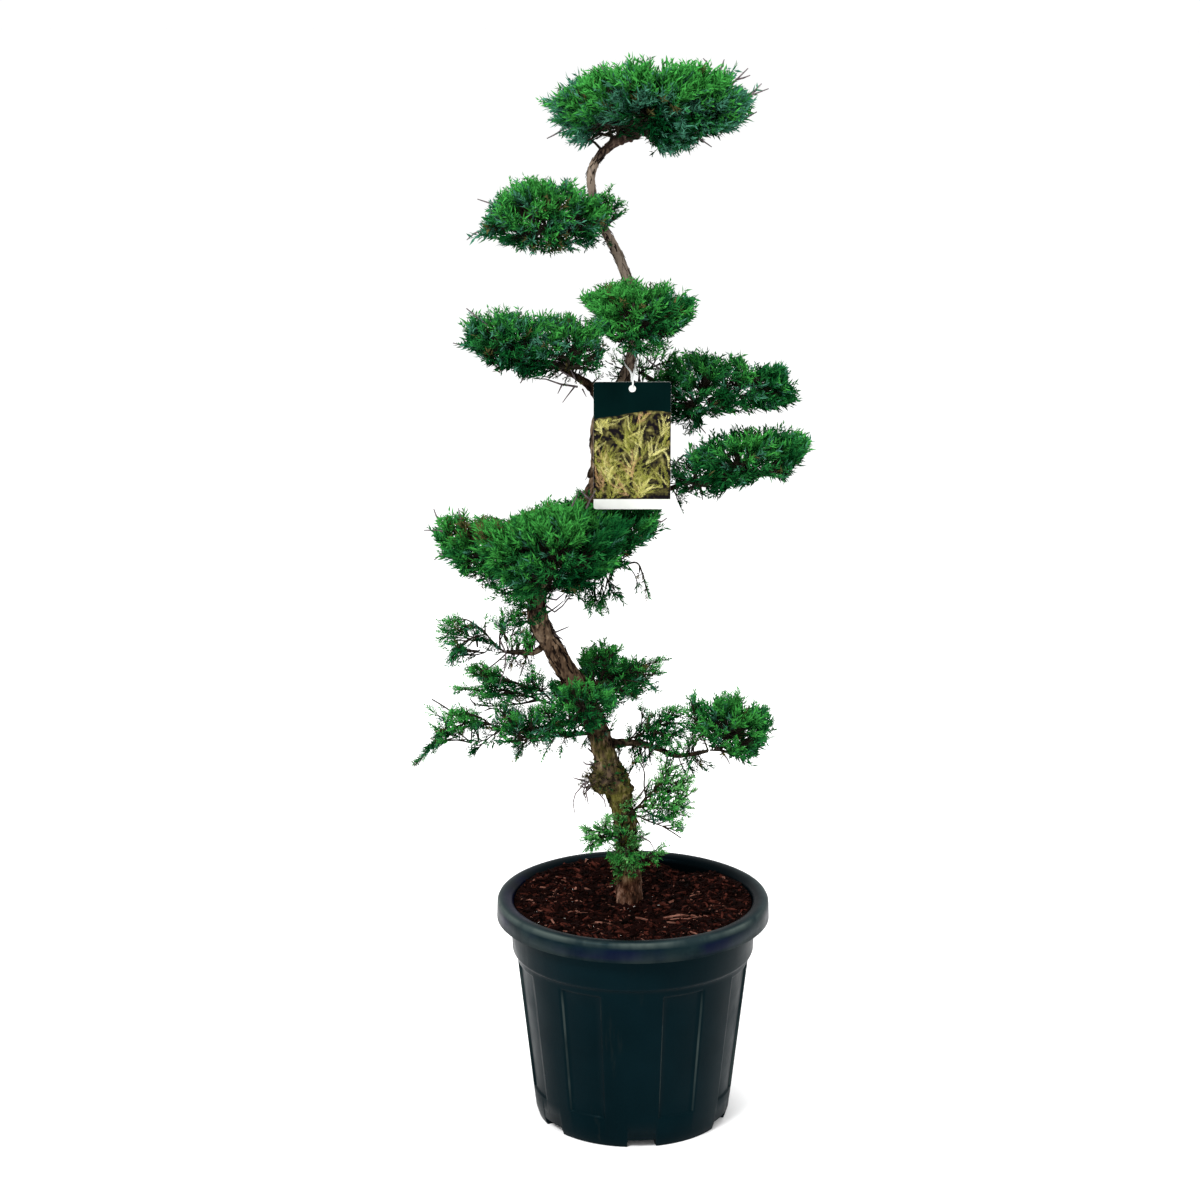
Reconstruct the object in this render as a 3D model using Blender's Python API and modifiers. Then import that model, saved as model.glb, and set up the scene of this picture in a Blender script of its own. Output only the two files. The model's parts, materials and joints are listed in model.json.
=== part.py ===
# Potted juniper trained in the cloud style: a round nursery container filled with bark soil, a leaning
# trunk with its boughs, pads and looser sprays of foliage, and a plant tag on a loop.
# Metres, +Z up. The origin is the middle of the container's underside, and the front faces -Y.

import math
import random

import bmesh
import bpy
from mathutils import Matrix, Vector
from mathutils.bvhtree import BVHTree

GAP = 0.0003  # left between pieces that touch
TURN_STEPS = 28  # round the container and the soil
BARK = (0.115, 0.070, 0.045, 1.0)

# Container: outer and inner outlines of the wall as (radius, height), and its pressed details
POT_HEIGHT = 0.305
RIM_RADIUS = 0.180
BASE_RADIUS = 0.1265
FLOOR_TOP = 0.0135
FLOOR_UNDER = 0.011
POT_OUTSIDE = [(0.165, 0.304), (0.170, POT_HEIGHT), (0.176, 0.3045), (0.1793, 0.3015), (RIM_RADIUS, 0.296),
               (0.1806, 0.278), (0.178, 0.278), (0.1768, 0.296), (0.1612, 0.296), (0.1597, 0.278),
               (0.1572, 0.233), (0.153, 0.230), (0.1515, 0.225), (0.131, 0.040), (0.129, 0.011),
               (BASE_RADIUS, 0.0), (0.116, 0.0), (0.115, FLOOR_UNDER), (0.031, FLOOR_UNDER), (0.030, 0.0),
               (0.0, 0.0)]
POT_INSIDE = [(0.1222, FLOOR_TOP), (0.1255, 0.040), (0.146, 0.225), (0.1545, 0.240), (0.157, 0.278)]
POT_LIP = (0.1588, 0.2985)
RECESS_DEPTH = 0.003
RECESS_BOTTOM, RECESS_TOP = 0.042, 0.219
FRONT_PANEL = (-16.5, 14.5)  # degrees round from the front, clockwise seen from below
RECESSES_A_SIDE = 4
NOTCH_COUNT, NOTCH_FIRST, NOTCH_SPAN = 6, 5.0, 17.0

# Soil: top surface as (radius, height), level where the trunk stands
SOIL_TOP = [(0.152, 0.2845), (0.125, 0.2862), (0.080, 0.2885), (0.036, 0.2900)]
TRUNK_FOOT = SOIL_TOP[-1][1] + GAP

# Trunk centre line with its radius, from the soil to the tip inside the top pad
TRUNK_LINE = [(-0.005, 0.015, 0.280, 0.0170), (-0.006, 0.015, 0.330, 0.0160),
              (-0.015, 0.012, 0.390, 0.0160), (-0.030, 0.008, 0.475, 0.0165),
              (-0.054, 0.000, 0.560, 0.0152), (-0.098, -0.008, 0.643, 0.0140),
              (-0.126, -0.010, 0.704, 0.0128), (-0.111, -0.006, 0.778, 0.0120),
              (-0.064, 0.006, 0.862, 0.0110), (-0.044, 0.015, 0.938, 0.0098),
              (-0.013, 0.014, 0.996, 0.0080), (0.003, 0.006, 1.071, 0.0073),
              (-0.016, -0.002, 1.142, 0.0069), (-0.046, -0.006, 1.204, 0.0063),
              (-0.054, -0.005, 1.258, 0.0058), (-0.028, 0.000, 1.292, 0.0056),
              (0.004, 0.003, 1.306, 0.0048)]
TRUNK_STEPS, BOUGH_STEPS = 2, 2
FLARE, FLARE_HEIGHT, ROOT_LOBES, ROOT_LOBE_DEPTH = 0.30, 0.022, 5, 0.35
BURL_AT, BURL_SIZE, BURL_SWELL = Vector((-0.036, 0.004, 0.470)), 0.024, 0.55

# Boughs: radius at the trunk and at the tip, then the centre line from inside the trunk to the tip
BOUGHS = {
    "upper_left": (0.0040, 0.0030, [(-0.040, -0.005, 1.192), (-0.069, -0.010, 1.188), (-0.091, -0.012, 1.196)]),
    "mid_left": (0.0052, 0.0034, [(-0.038, 0.016, 0.952), (-0.069, 0.006, 0.975), (-0.092, -0.006, 0.991),
                                  (-0.104, -0.012, 1.009)]),
    "mid_right": (0.0048, 0.0034, [(-0.015, 0.014, 0.992), (0.018, 0.022, 0.981), (0.046, 0.028, 0.980)]),
    "lower_right": (0.0060, 0.0040, [(-0.057, 0.008, 0.875), (-0.005, 0.018, 0.855), (0.040, 0.014, 0.851),
                                     (0.066, 0.012, 0.862)]),
    "big_left": (0.0062, 0.0045, [(-0.126, -0.010, 0.706), (-0.150, -0.008, 0.729), (-0.172, -0.010, 0.750)]),
    "big_right": (0.0058, 0.0040, [(-0.121, -0.008, 0.742), (-0.076, -0.004, 0.740), (-0.041, -0.004, 0.757)]),
    "small_left": (0.0046, 0.0030, [(-0.106, -0.008, 0.656), (-0.134, -0.012, 0.640), (-0.165, -0.014, 0.643)]),
    "long_left": (0.0056, 0.0034, [(-0.052, 0.000, 0.556), (-0.096, -0.010, 0.543), (-0.148, -0.022, 0.536)]),
    "small_right": (0.0048, 0.0034, [(-0.083, -0.006, 0.616), (-0.054, 0.012, 0.594), (-0.030, 0.020, 0.592)]),
    "right": (0.0056, 0.0036, [(-0.036, 0.005, 0.506), (0.009, 0.002, 0.511), (0.056, 0.000, 0.497),
                               (0.084, 0.000, 0.501)]),
}

# Foliage: what carries the mass, the middle and half sizes of each lobe of its space, how much wider
# the lobes get towards their top, and whether it is clipped dense round a core
MASSES = {
    "top": ("trunk_tip", [((0.027, 0.000, 1.332), (0.138, 0.110, 0.065))], 0.10, True),
    "upper_left": ("upper_left", [((-0.121, -0.010, 1.199), (0.088, 0.076, 0.053))], 0.10, True),
    "upper_wisp": ((-0.047, -0.006, 1.205), [((-0.030, -0.018, 1.214), (0.024, 0.028, 0.024))], 0.20, False),
    "upper_centre": ((-0.001, 0.003, 1.050), [((-0.001, -0.056, 1.078), (0.078, 0.054, 0.055))], 0.42, True),
    "upper_back": ((0.003, 0.006, 1.062), [((0.004, 0.064, 1.068), (0.067, 0.054, 0.046))], 0.25, True),
    "mid_left": ("mid_left", [((-0.163, -0.020, 1.045), (0.067, 0.072, 0.048)),
                              ((-0.082, -0.018, 1.031), (0.068, 0.064, 0.049))], 0.10, True),
    "mid_right": ("mid_right", [((0.087, 0.030, 0.974), (0.056, 0.062, 0.055)),
                                ((0.144, 0.030, 0.983), (0.072, 0.066, 0.043))], 0.00, True),
    "lower_right": ("lower_right", [((0.152, 0.010, 0.890), (0.086, 0.072, 0.046)),
                                    ((0.088, 0.010, 0.868), (0.044, 0.046, 0.034))], 0.05, True),
    "big_left": ("big_left", [((-0.195, -0.004, 0.776), (0.072, 0.072, 0.057))], 0.30, True),
    "big_front": ((-0.117, -0.008, 0.735), [((-0.106, -0.072, 0.782), (0.082, 0.060, 0.067))], 0.35, True),
    "big_right": ("big_right", [((-0.026, -0.002, 0.782), (0.064, 0.066, 0.055))], 0.30, True),
    "big_back": ((-0.115, -0.007, 0.765), [((-0.110, 0.070, 0.776), (0.084, 0.060, 0.055))], 0.30, True),
    "big_hanging": ((-0.122, -0.009, 0.722), [((-0.036, -0.034, 0.722), (0.040, 0.034, 0.030))], 0.00, False),
    "small_left": ("small_left", [((-0.212, -0.012, 0.658), (0.038, 0.040, 0.037)),
                                  ((-0.166, -0.014, 0.669), (0.034, 0.038, 0.025))], 0.00, False),
    "long_left_upper": ((-0.078, -0.004, 0.606), [((-0.150, -0.004, 0.592), (0.064, 0.046, 0.031))],
                        0.00, False),
    "long_left": ("long_left", [((-0.150, -0.028, 0.540), (0.064, 0.060, 0.036)),
                                ((-0.226, -0.032, 0.528), (0.060, 0.048, 0.038))], 0.00, False),
    "trunk_tuft": ((-0.068, -0.003, 0.587), [((-0.066, -0.052, 0.579), (0.043, 0.036, 0.039))], 0.00, True),
    "low_back": ((-0.060, -0.001, 0.570), [((-0.048, 0.080, 0.576), (0.060, 0.056, 0.041))], 0.10, True),
    "small_right": ("small_right", [((0.000, 0.022, 0.602), (0.044, 0.042, 0.028)),
                                    ((-0.044, 0.024, 0.628), (0.034, 0.036, 0.022))], 0.00, False),
    "right_pad": ("right", [((0.128, 0.000, 0.531), (0.054, 0.056, 0.050))], 0.10, True),
    "right_inner": ((-0.042, 0.003, 0.522), [((0.040, 0.000, 0.541), (0.038, 0.036, 0.024))], 0.00, False),
    "base_right": ((-0.024, 0.010, 0.440), [((0.036, -0.010, 0.441), (0.036, 0.034, 0.050))], 0.15, False),
    "base_front": ((-0.014, 0.012, 0.384), [((-0.009, -0.036, 0.394), (0.048, 0.034, 0.040))], 0.10, False),
}
UNDERSIDE = 0.85  # depth of a space below its middle, as a share of its height above it
SQUARENESS = 2.4
OTHERS_EDGE, OTHERS_MARGIN = 0.86, 0.08  # how far into another mass's space a point may reach
CORE_SHARE, CORE_ROOM = 0.66, 0.004  # share of the space a core fills, and its room to a limb
SPRAYS_A_LOBE, SPRAYS_AN_AREA = 4.0, 185.0  # the least, and more for each square metre of its outside
SPRAY_LENGTH, SPRAY_WIDTH, SPRAY_THICKNESS = 0.064, 0.044, 0.0056
SPRAY_ROOM = 0.0025  # to a limb
RAGGED = 0.10  # how far a spray may stop short of the edge of its space
TWIG_RADIUS, MAIN_TWIGS = 0.0022, 4
GOLDEN_ANGLE = math.pi * (3.0 - math.sqrt(5.0))

# Plant tag, a flat card that hangs from a loop round the trunk
TAG_SIZE = (0.0975, 0.0010, 0.1635)
TAG_TOP_MIDDLE = Vector((-0.0031, -0.0300, 0.9982))
TAG_CORNER, TAG_HOLE = 0.003, 0.0042
TAG_HOLE_DROP = 0.0085
LOOP_RADIUS = 0.0011
LOOP_TRUNK_Z, LOOP_TRUNK_RADIUS, LOOP_DIP = 1.0240, 0.0083, 0.0040
LOOP_START, LOOP_SPAN, LOOP_STEPS = -25.0, 230.0, 8  # round the back of the trunk, in degrees

for leftover in list(bpy.data.objects):
    bpy.data.objects.remove(leftover, do_unlink=True)

plant = bpy.data.collections.new("potted_juniper")
cutters = bpy.data.collections.new("cutters")
for collection in (plant, cutters):
    bpy.context.scene.collection.children.link(collection)
cutters.hide_render = True


def material(name, colour, roughness):
    made = bpy.data.materials.new(name)
    made.use_nodes = True
    shader = made.node_tree.nodes["Principled BSDF"]
    shader.inputs["Base Color"].default_value = colour
    shader.inputs["Roughness"].default_value = roughness
    return made


def add_object(name, mesh, collection=plant, finish=None):
    made = bpy.data.objects.new(name, mesh)
    collection.objects.link(made)
    if finish:
        mesh.materials.clear()
        mesh.materials.append(finish)
    if collection.name.endswith("cutters"):
        made.hide_render = True
        made.display_type = "WIRE"
    return made


def mesh_from(bm, name):
    bmesh.ops.recalc_face_normals(bm, faces=bm.faces)
    mesh = bpy.data.meshes.new(name)
    bm.to_mesh(mesh)
    bm.free()
    return mesh


def evaluated_mesh(source):
    """The object as its modifiers leave it, as a plain mesh."""
    bpy.context.view_layer.update()
    graph = bpy.context.evaluated_depsgraph_get()
    return bpy.data.meshes.new_from_object(source.evaluated_get(graph), depsgraph=graph)


def bake_modifiers(target):
    old = target.data
    target.data = evaluated_mesh(target)
    target.modifiers.clear()
    bpy.data.meshes.remove(old)


def combine(target, collection, operation, solver="EXACT"):
    """One Boolean of the target with a whole collection, applied."""
    boolean = target.modifiers.new(operation.lower(), "BOOLEAN")
    boolean.operation = operation
    boolean.operand_type = "COLLECTION"
    boolean.collection = collection
    boolean.solver = solver
    bake_modifiers(target)


def keep_largest_body(target):
    """Fills sealed hollows and drops loose scraps: only the largest closed surface stays."""
    bm = bmesh.new()
    bm.from_mesh(target.data)
    unseen = set(bm.verts)
    bodies = []
    while unseen:
        body = {unseen.pop()}
        growing = list(body)
        while growing:
            vertex = growing.pop()
            found = {link.other_vert(vertex) for link in vertex.link_edges} & unseen
            unseen -= found
            body |= found
            growing.extend(found)
        bodies.append(body)
    bodies.sort(key=len)
    for body in bodies[:-1]:
        bmesh.ops.delete(bm, geom=list(body), context="VERTS")
    bm.to_mesh(target.data)
    bm.free()


# Container and soil

def turned(name, profile, finish):
    """A closed profile of (radius, height), listed down its outer side, turned about Z."""
    bm = bmesh.new()
    points = [bm.verts.new((radius, 0.0, height)) for radius, height in profile]
    for first, second in zip(points, points[1:] + points[:1]):
        if first.co.x > 0.0 or second.co.x > 0.0:
            bm.edges.new((first, second))
    mesh = bpy.data.meshes.new(name)
    bm.to_mesh(mesh)
    bm.free()
    made = add_object(name, mesh, plant, finish)
    screw = made.modifiers.new("turn", "SCREW")
    screw.steps = screw.render_steps = TURN_STEPS
    screw.use_merge_vertices = True
    screw.merge_threshold = 0.00001
    bake_modifiers(made)
    return made


def sector(name, outline, start, span, steps):
    """A cutter: an outline of (radius, height) swept round Z from start, both in degrees from the front."""
    bm = bmesh.new()
    first = math.radians(start - 90.0)
    points = [bm.verts.new((r * math.cos(first), r * math.sin(first), z)) for r, z in outline]
    face = bm.faces.new(points)
    bmesh.ops.spin(bm, geom=[face] + list(face.edges) + points, axis=(0, 0, 1), cent=(0, 0, 0),
                   angle=math.radians(span), steps=steps)
    return add_object(name, mesh_from(bm, name), pot_cutters)


def wall_radius(outline, height):
    """Radius of a wall outline at a height, between its listed points."""
    for (r0, z0), (r1, z1) in zip(outline, outline[1:]):
        if min(z0, z1) <= height <= max(z0, z1) and z0 != z1:
            return r0 + (r1 - r0) * (height - z0) / (z1 - z0)
    return outline[-1][0]


def make_pot():
    profile = POT_OUTSIDE + [(0.0, FLOOR_TOP)] + POT_INSIDE + [POT_LIP]
    pot = turned("pot", profile, material("pot_plastic", (0.012, 0.030, 0.034, 1.0), 0.35))
    panel_span = (360.0 - 2.0 * (FRONT_PANEL[1] - FRONT_PANEL[0])) / (4.0 * RECESSES_A_SIDE - 2.0)
    body = POT_OUTSIDE[12:14]
    face = [(wall_radius(body, z) - RECESS_DEPTH, z) for z in (RECESS_BOTTOM, RECESS_TOP)]
    recess = face + [(RIM_RADIUS, RECESS_TOP), (RIM_RADIUS, RECESS_BOTTOM)]
    for side in range(2):
        for index in range(RECESSES_A_SIDE):
            start = FRONT_PANEL[1] + 180.0 * side + 2.0 * index * panel_span
            sector(f"recess_{side}_{index}", recess, start, panel_span, 3)
    notch = [(0.105, -0.01), (0.105, FLOOR_UNDER), (0.14, FLOOR_UNDER), (0.14, -0.01)]
    for index in range(NOTCH_COUNT):
        start = NOTCH_FIRST + index * 360.0 / NOTCH_COUNT - NOTCH_SPAN / 2.0
        sector(f"notch_{index}", notch, start, NOTCH_SPAN, 3)
    combine(pot, pot_cutters, "DIFFERENCE")


def make_soil():
    top, floor = SOIL_TOP[0][1], FLOOR_TOP + GAP
    edge = (wall_radius(POT_INSIDE + [POT_LIP], top) - GAP, top)
    wall = [(radius - GAP, max(height, floor)) for radius, height in reversed(POT_INSIDE)]
    profile = [(0.0, SOIL_TOP[-1][1])] + SOIL_TOP[::-1] + [edge] + wall + [(0.0, floor)]
    turned("soil", profile, material("bark_soil", (0.060, 0.022, 0.014, 1.0), 0.95))


# Limbs

def smooth_line(points, steps):
    """Points on a smooth curve through the given ones. All their numbers are blended, the radius too."""
    ends = [points[0]] + list(points) + [points[-1]]
    line = []
    for before, start, stop, after in zip(ends, ends[1:], ends[2:], ends[3:]):
        for step in range(steps):
            t = step / steps
            line.append(tuple(
                0.5 * (2 * p1 + (p2 - p0) * t + (2 * p0 - 5 * p1 + 4 * p2 - p3) * t * t
                       + (3 * p1 - p0 - 3 * p2 + p3) * t ** 3)
                for p0, p1, p2, p3 in zip(before, start, stop, after)))
    return line + [tuple(points[-1])]


def tube(name, line, collection, roundness=2, grow=0.0, finish=None):
    """A tapering limb along a line of (x, y, z, radius), as a closed mesh."""
    curve = bpy.data.curves.new(name, "CURVE")
    curve.dimensions = "3D"
    curve.bevel_depth = 1.0
    curve.bevel_resolution = roundness
    curve.use_fill_caps = True
    spline = curve.splines.new("POLY")
    spline.points.add(len(line) - 1)
    for point, (x, y, z, radius) in zip(spline.points, line):
        point.co = (x, y, z, 1.0)
        point.radius = radius + grow
    source = bpy.data.objects.new(name + "_curve", curve)
    bpy.context.scene.collection.objects.link(source)
    mesh = evaluated_mesh(source)
    bpy.data.objects.remove(source, do_unlink=True)
    bm = bmesh.new()
    bm.from_mesh(mesh)
    bmesh.ops.remove_doubles(bm, verts=bm.verts, dist=0.000001)
    bpy.data.meshes.remove(mesh)
    return add_object(name, mesh_from(bm, name), collection, finish)


def lengthened(line, distance):
    """The line with its far end moved on by a distance."""
    end, before = Vector(line[-1][:3]), Vector(line[-2][:3])
    on = end + (end - before).normalized() * distance
    return line[:-1] + [(on.x, on.y, on.z, line[-1][3])]


def shape_trunk(trunk):
    """Spreads the foot into root lobes, swells the burl, and cuts the foot flat at the soil."""
    for vertex in trunk.data.vertices:
        point = vertex.co
        outward = point - trunk_centre(point.z)
        outward.z = 0.0
        lobes = 1.0 + ROOT_LOBE_DEPTH * math.cos(ROOT_LOBES * math.atan2(outward.y, outward.x))
        foot = FLARE * lobes * math.exp(-max(0.0, point.z - TRUNK_FOOT) / FLARE_HEIGHT)
        burl = BURL_SWELL * math.exp(-((point - BURL_AT).length / BURL_SIZE) ** 2)
        vertex.co = point + outward * (foot + burl)
    bm = bmesh.new()
    bm.from_mesh(trunk.data)
    cut = bmesh.ops.bisect_plane(bm, geom=bm.verts[:] + bm.edges[:] + bm.faces[:], dist=0.000001,
                                 plane_co=(0, 0, TRUNK_FOOT), plane_no=(0, 0, 1), clear_inner=True)
    edges = [item for item in cut["geom_cut"] if isinstance(item, bmesh.types.BMEdge)]
    bmesh.ops.holes_fill(bm, edges=edges)
    bmesh.ops.recalc_face_normals(bm, faces=bm.faces)
    bm.to_mesh(trunk.data)
    bm.free()


def trunk_centre(height):
    """The middle of the trunk at a height."""
    line = smooth_line(TRUNK_LINE, TRUNK_STEPS)
    for low, high in zip(line, line[1:]):
        if low[2] <= height <= high[2]:
            return Vector(low[:3]).lerp(Vector(high[:3]), (height - low[2]) / (high[2] - low[2]))
    return Vector(line[-1][:3])


def bough_line(name):
    thick, thin, points = BOUGHS[name]
    share = [index / (len(points) - 1) for index in range(len(points))]
    return smooth_line([(*p, thick + (thin - thick) * s) for p, s in zip(points, share)], BOUGH_STEPS)


def make_limbs():
    """The trunk, and each bough cut clear of it. A grown copy of each limb stays as a cutter."""
    bark = material("bark", BARK, 0.9)
    line = smooth_line(TRUNK_LINE, TRUNK_STEPS)
    trunk = tube("trunk", line, plant, roundness=3, finish=bark)
    shape_trunk(trunk)
    shape_trunk(tube("trunk_clearance", lengthened(line, GAP), limb_cutters, roundness=3, grow=GAP))
    for name in BOUGHS:
        bough = tube("bough_" + name, bough_line(name), plant, finish=bark)
        combine(bough, limb_cutters, "DIFFERENCE")
        keep_largest_body(bough)
    for name in BOUGHS:
        tube(f"bough_{name}_clearance", lengthened(bough_line(name), GAP), limb_cutters, grow=GAP)


# Foliage

class Lobe:
    """A rounded space, shallower below its middle and wider towards its top."""

    def __init__(self, centre, half, widening):
        self.centre = Vector(centre)
        self.half = Vector(half)
        self.widening = widening

    def surface(self, way):
        """The point of the space's edge that lies in the direction way from its middle."""
        norm = sum(abs(part) ** SQUARENESS for part in way) ** (-1.0 / SQUARENESS)
        x, y, z = way * norm
        depth = self.half.z * (UNDERSIDE if z < 0.0 else 1.0)
        wide = 1.0 + self.widening * z
        return self.centre + Vector((x * self.half.x * wide, y * self.half.y * wide, z * depth))

    def level(self, point):
        """0 at the middle of the space and 1 at its edge."""
        x, y, z = point - self.centre
        z /= self.half.z * (UNDERSIDE if z < 0.0 else 1.0)
        wide = 1.0 + self.widening * max(-1.0, min(1.0, z))
        parts = (x / (self.half.x * wide), y / (self.half.y * wide), z)
        return sum(abs(part) ** SQUARENESS for part in parts) ** (1.0 / SQUARENESS)

    def outside(self):
        """The area of the space's edge, roughly."""
        x, y, z = self.half
        return 4.2 * (x * y + x * z + y * z)


class Mass:
    """The space of one mass of foliage, and where its stem starts and forks."""

    def __init__(self, name):
        carrier, lobes, widening, self.dense = MASSES[name]
        self.name = name
        self.lobes = [Lobe(centre, half, widening) for centre, half in lobes]
        self.random = random.Random(name)
        self.stem_radius = 0.0030
        if carrier == "trunk_tip":
            self.root = Vector(TRUNK_LINE[-2][:3]).lerp(Vector(TRUNK_LINE[-1][:3]), 0.8)
        elif carrier in BOUGHS:
            line = bough_line(carrier)
            self.root = Vector(line[-2][:3]).lerp(Vector(line[-1][:3]), 0.6)
            self.stem_radius = line[-1][3] * 0.95
        else:
            self.root = Vector(carrier)
        self.hubs = []
        for lobe in self.lobes:
            below = lobe.centre - Vector((0.0, 0.0, lobe.half.z * 0.35))
            self.hubs.append(below.lerp(self.root, 0.25))

    def level(self, point):
        return min(lobe.level(point) for lobe in self.lobes)


def even_ways(count, chance):
    """Unit vectors spread evenly on all sides by the golden angle, each nudged a little."""
    for index in range(count):
        height = 1.0 - (2.0 * index + 1.0) / count
        ring = math.sqrt(1.0 - height * height)
        angle = GOLDEN_ANGLE * index
        nudge = Vector((chance.uniform(-1, 1), chance.uniform(-1, 1), chance.uniform(-1, 1))) * 0.18
        yield (Vector((ring * math.cos(angle), ring * math.sin(angle), height)) + nudge).normalized()


def aimed(root, way, roll):
    """A matrix that stands a shape, made along +X, on root with its length along way."""
    turn = way.to_track_quat("X", "Z").to_matrix().to_4x4()
    return Matrix.Translation(root) @ turn @ Matrix.Rotation(roll, 4, "X")


def spray_mesh(length, width):
    """A toothed blade: a flat outline of one spray, raised to a low peak on both faces."""
    right = [(0.0, 0.08), (0.80, 0.50), (0.72, 0.15)]
    outline = right + [(1.0, 0.0)] + [(along, -across) for along, across in reversed(right)]
    bm = bmesh.new()
    rim = [bm.verts.new((along * length, across * width, 0.0)) for along, across in outline]
    for side in (1.0, -1.0):
        peak = bm.verts.new((0.56 * length, 0.0, side * SPRAY_THICKNESS / 2.0))
        for first, second in zip(rim, rim[1:] + rim[:1]):
            bm.faces.new((first, second, peak))
    return mesh_from(bm, "spray")


def twig_mesh(length, thick, thin):
    bm = bmesh.new()
    bmesh.ops.create_cone(bm, segments=3, radius1=thick, radius2=thin, depth=length, cap_ends=True,
                          matrix=Matrix.Rotation(math.pi / 2, 4, "Y") @ Matrix.Translation((0, 0, length / 2)))
    return mesh_from(bm, "twig")


def add_twig(start, stop, thick, thin, into):
    way = stop - start
    made = add_object("twig", twig_mesh(way.length, thick, thin), into)
    made.matrix_world = aimed(start, way.normalized(), 0.0)


def core_mesh(mass, lobe):
    """A lumpy ball within the lobe, drawn in where it would meet a limb or a neighbour."""
    bm = bmesh.new()
    bmesh.ops.create_icosphere(bm, subdivisions=2, radius=1.0)
    for vertex in bm.verts:
        share = CORE_SHARE * mass.random.uniform(0.92, 1.06)
        edge = lobe.centre.lerp(lobe.surface(vertex.co.normalized()), share)
        while not is_free(mass, [edge], CORE_ROOM) and (edge - lobe.centre).length > 0.01:
            edge = lobe.centre.lerp(edge, 0.9)
        vertex.co = edge
    return mesh_from(bm, "core")


def is_free(mass, points, room):
    """True where points keep to the mass's own space and stay clear of every limb and of the tag."""
    for point in points:
        _, _, _, distance = limbs_surface.find_nearest(point)
        if distance < room:
            return False
        own = mass.level(point)
        for other in masses:
            if other is not mass and other.level(point) < max(OTHERS_EDGE, own + OTHERS_MARGIN):
                return False
    return True


def nearest_fork(hub, tip, ends):
    """Where the twig for this tip leaves the nearest of the hub's branches, at an easy angle."""
    forks = [hub]
    for end in ends:
        branch = end - hub
        along = max(0.0, min(1.0, (tip - hub).dot(branch) / branch.length_squared))
        beside = (tip - hub - branch * along).length
        forks.append(hub + branch * max(0.15, along - 0.7 * beside / branch.length))
    return min(forks, key=lambda fork: (tip - fork).length)


def add_spray(mass, fork, tip, pieces):
    """A spray that ends at tip and points away from fork, on a twig of its own where it is far off."""
    along = (tip - fork).normalized()
    length = min(SPRAY_LENGTH * mass.random.uniform(0.8, 1.1), (tip - fork).length)
    width = SPRAY_WIDTH * mass.random.uniform(0.85, 1.15) * length / SPRAY_LENGTH
    root = tip - along * length
    placed = aimed(root, along, mass.random.uniform(0.0, math.pi))
    shoulders = [placed @ Vector((length * 0.80, side * width / 2.0, 0.0)) for side in (1, -1)]
    if not is_free(mass, [tip, root.lerp(tip, 0.5), root.lerp(tip, 0.8)] + shoulders, SPRAY_ROOM):
        return
    if not mass.dense and (root - fork).length > TWIG_RADIUS * 4.0:
        add_twig(fork, root + along * length * 0.3, TWIG_RADIUS * 0.8, TWIG_RADIUS * 0.5, pieces)
    add_object("spray", spray_mesh(length, width), pieces).matrix_world = placed


def grow_lobe(mass, lobe, hub, pieces):
    """Twigs from the hub, a core where the mass is dense, and sprays out to the edge of the space."""
    ends = [hub.lerp(lobe.surface(way), 0.6) for way in even_ways(MAIN_TWIGS, mass.random)]
    ends = [end for end in ends if is_free(mass, [end], CORE_ROOM)]
    for end in ends:
        add_twig(hub, end, TWIG_RADIUS, TWIG_RADIUS * 0.6, pieces)
    if mass.dense:
        add_object("core", core_mesh(mass, lobe), pieces)
    count = round(SPRAYS_A_LOBE + SPRAYS_AN_AREA * lobe.outside())
    for way in even_ways(count, mass.random):
        if mass.dense and way.z < -0.80:
            continue
        edge = lobe.surface(way)
        if any(other.level(edge) < 0.9 for other in mass.lobes if other is not lobe):
            continue
        tip = lobe.centre.lerp(edge, 1.0 - RAGGED * mass.random.random() ** 2)
        add_spray(mass, hub if mass.dense else nearest_fork(hub, tip, ends), tip, pieces)


def grow(mass):
    """One mass: its stem, with the growth of each lobe fused on, cut clear of the limbs."""
    pieces = bpy.data.collections.new("pieces")
    bpy.context.scene.collection.children.link(pieces)
    stem_line = [(*mass.root, mass.stem_radius), (*mass.hubs[0], mass.stem_radius * 0.8),
                 (*mass.lobes[0].centre, TWIG_RADIUS)]
    stem = tube("foliage_" + mass.name, stem_line, plant, roundness=1, finish=green)
    for lobe, hub in zip(mass.lobes, mass.hubs):
        if hub is not mass.hubs[0]:
            add_twig(mass.hubs[0], hub, TWIG_RADIUS * 1.3, TWIG_RADIUS, pieces)
        grow_lobe(mass, lobe, hub, pieces)
    combine(stem, pieces, "UNION", "MANIFOLD")
    for piece in list(pieces.objects):
        bpy.data.objects.remove(piece, do_unlink=True)
    bpy.data.collections.remove(pieces)
    combine(stem, limb_cutters, "DIFFERENCE", "MANIFOLD")
    keep_largest_body(stem)


# Plant tag and its loop

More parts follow.
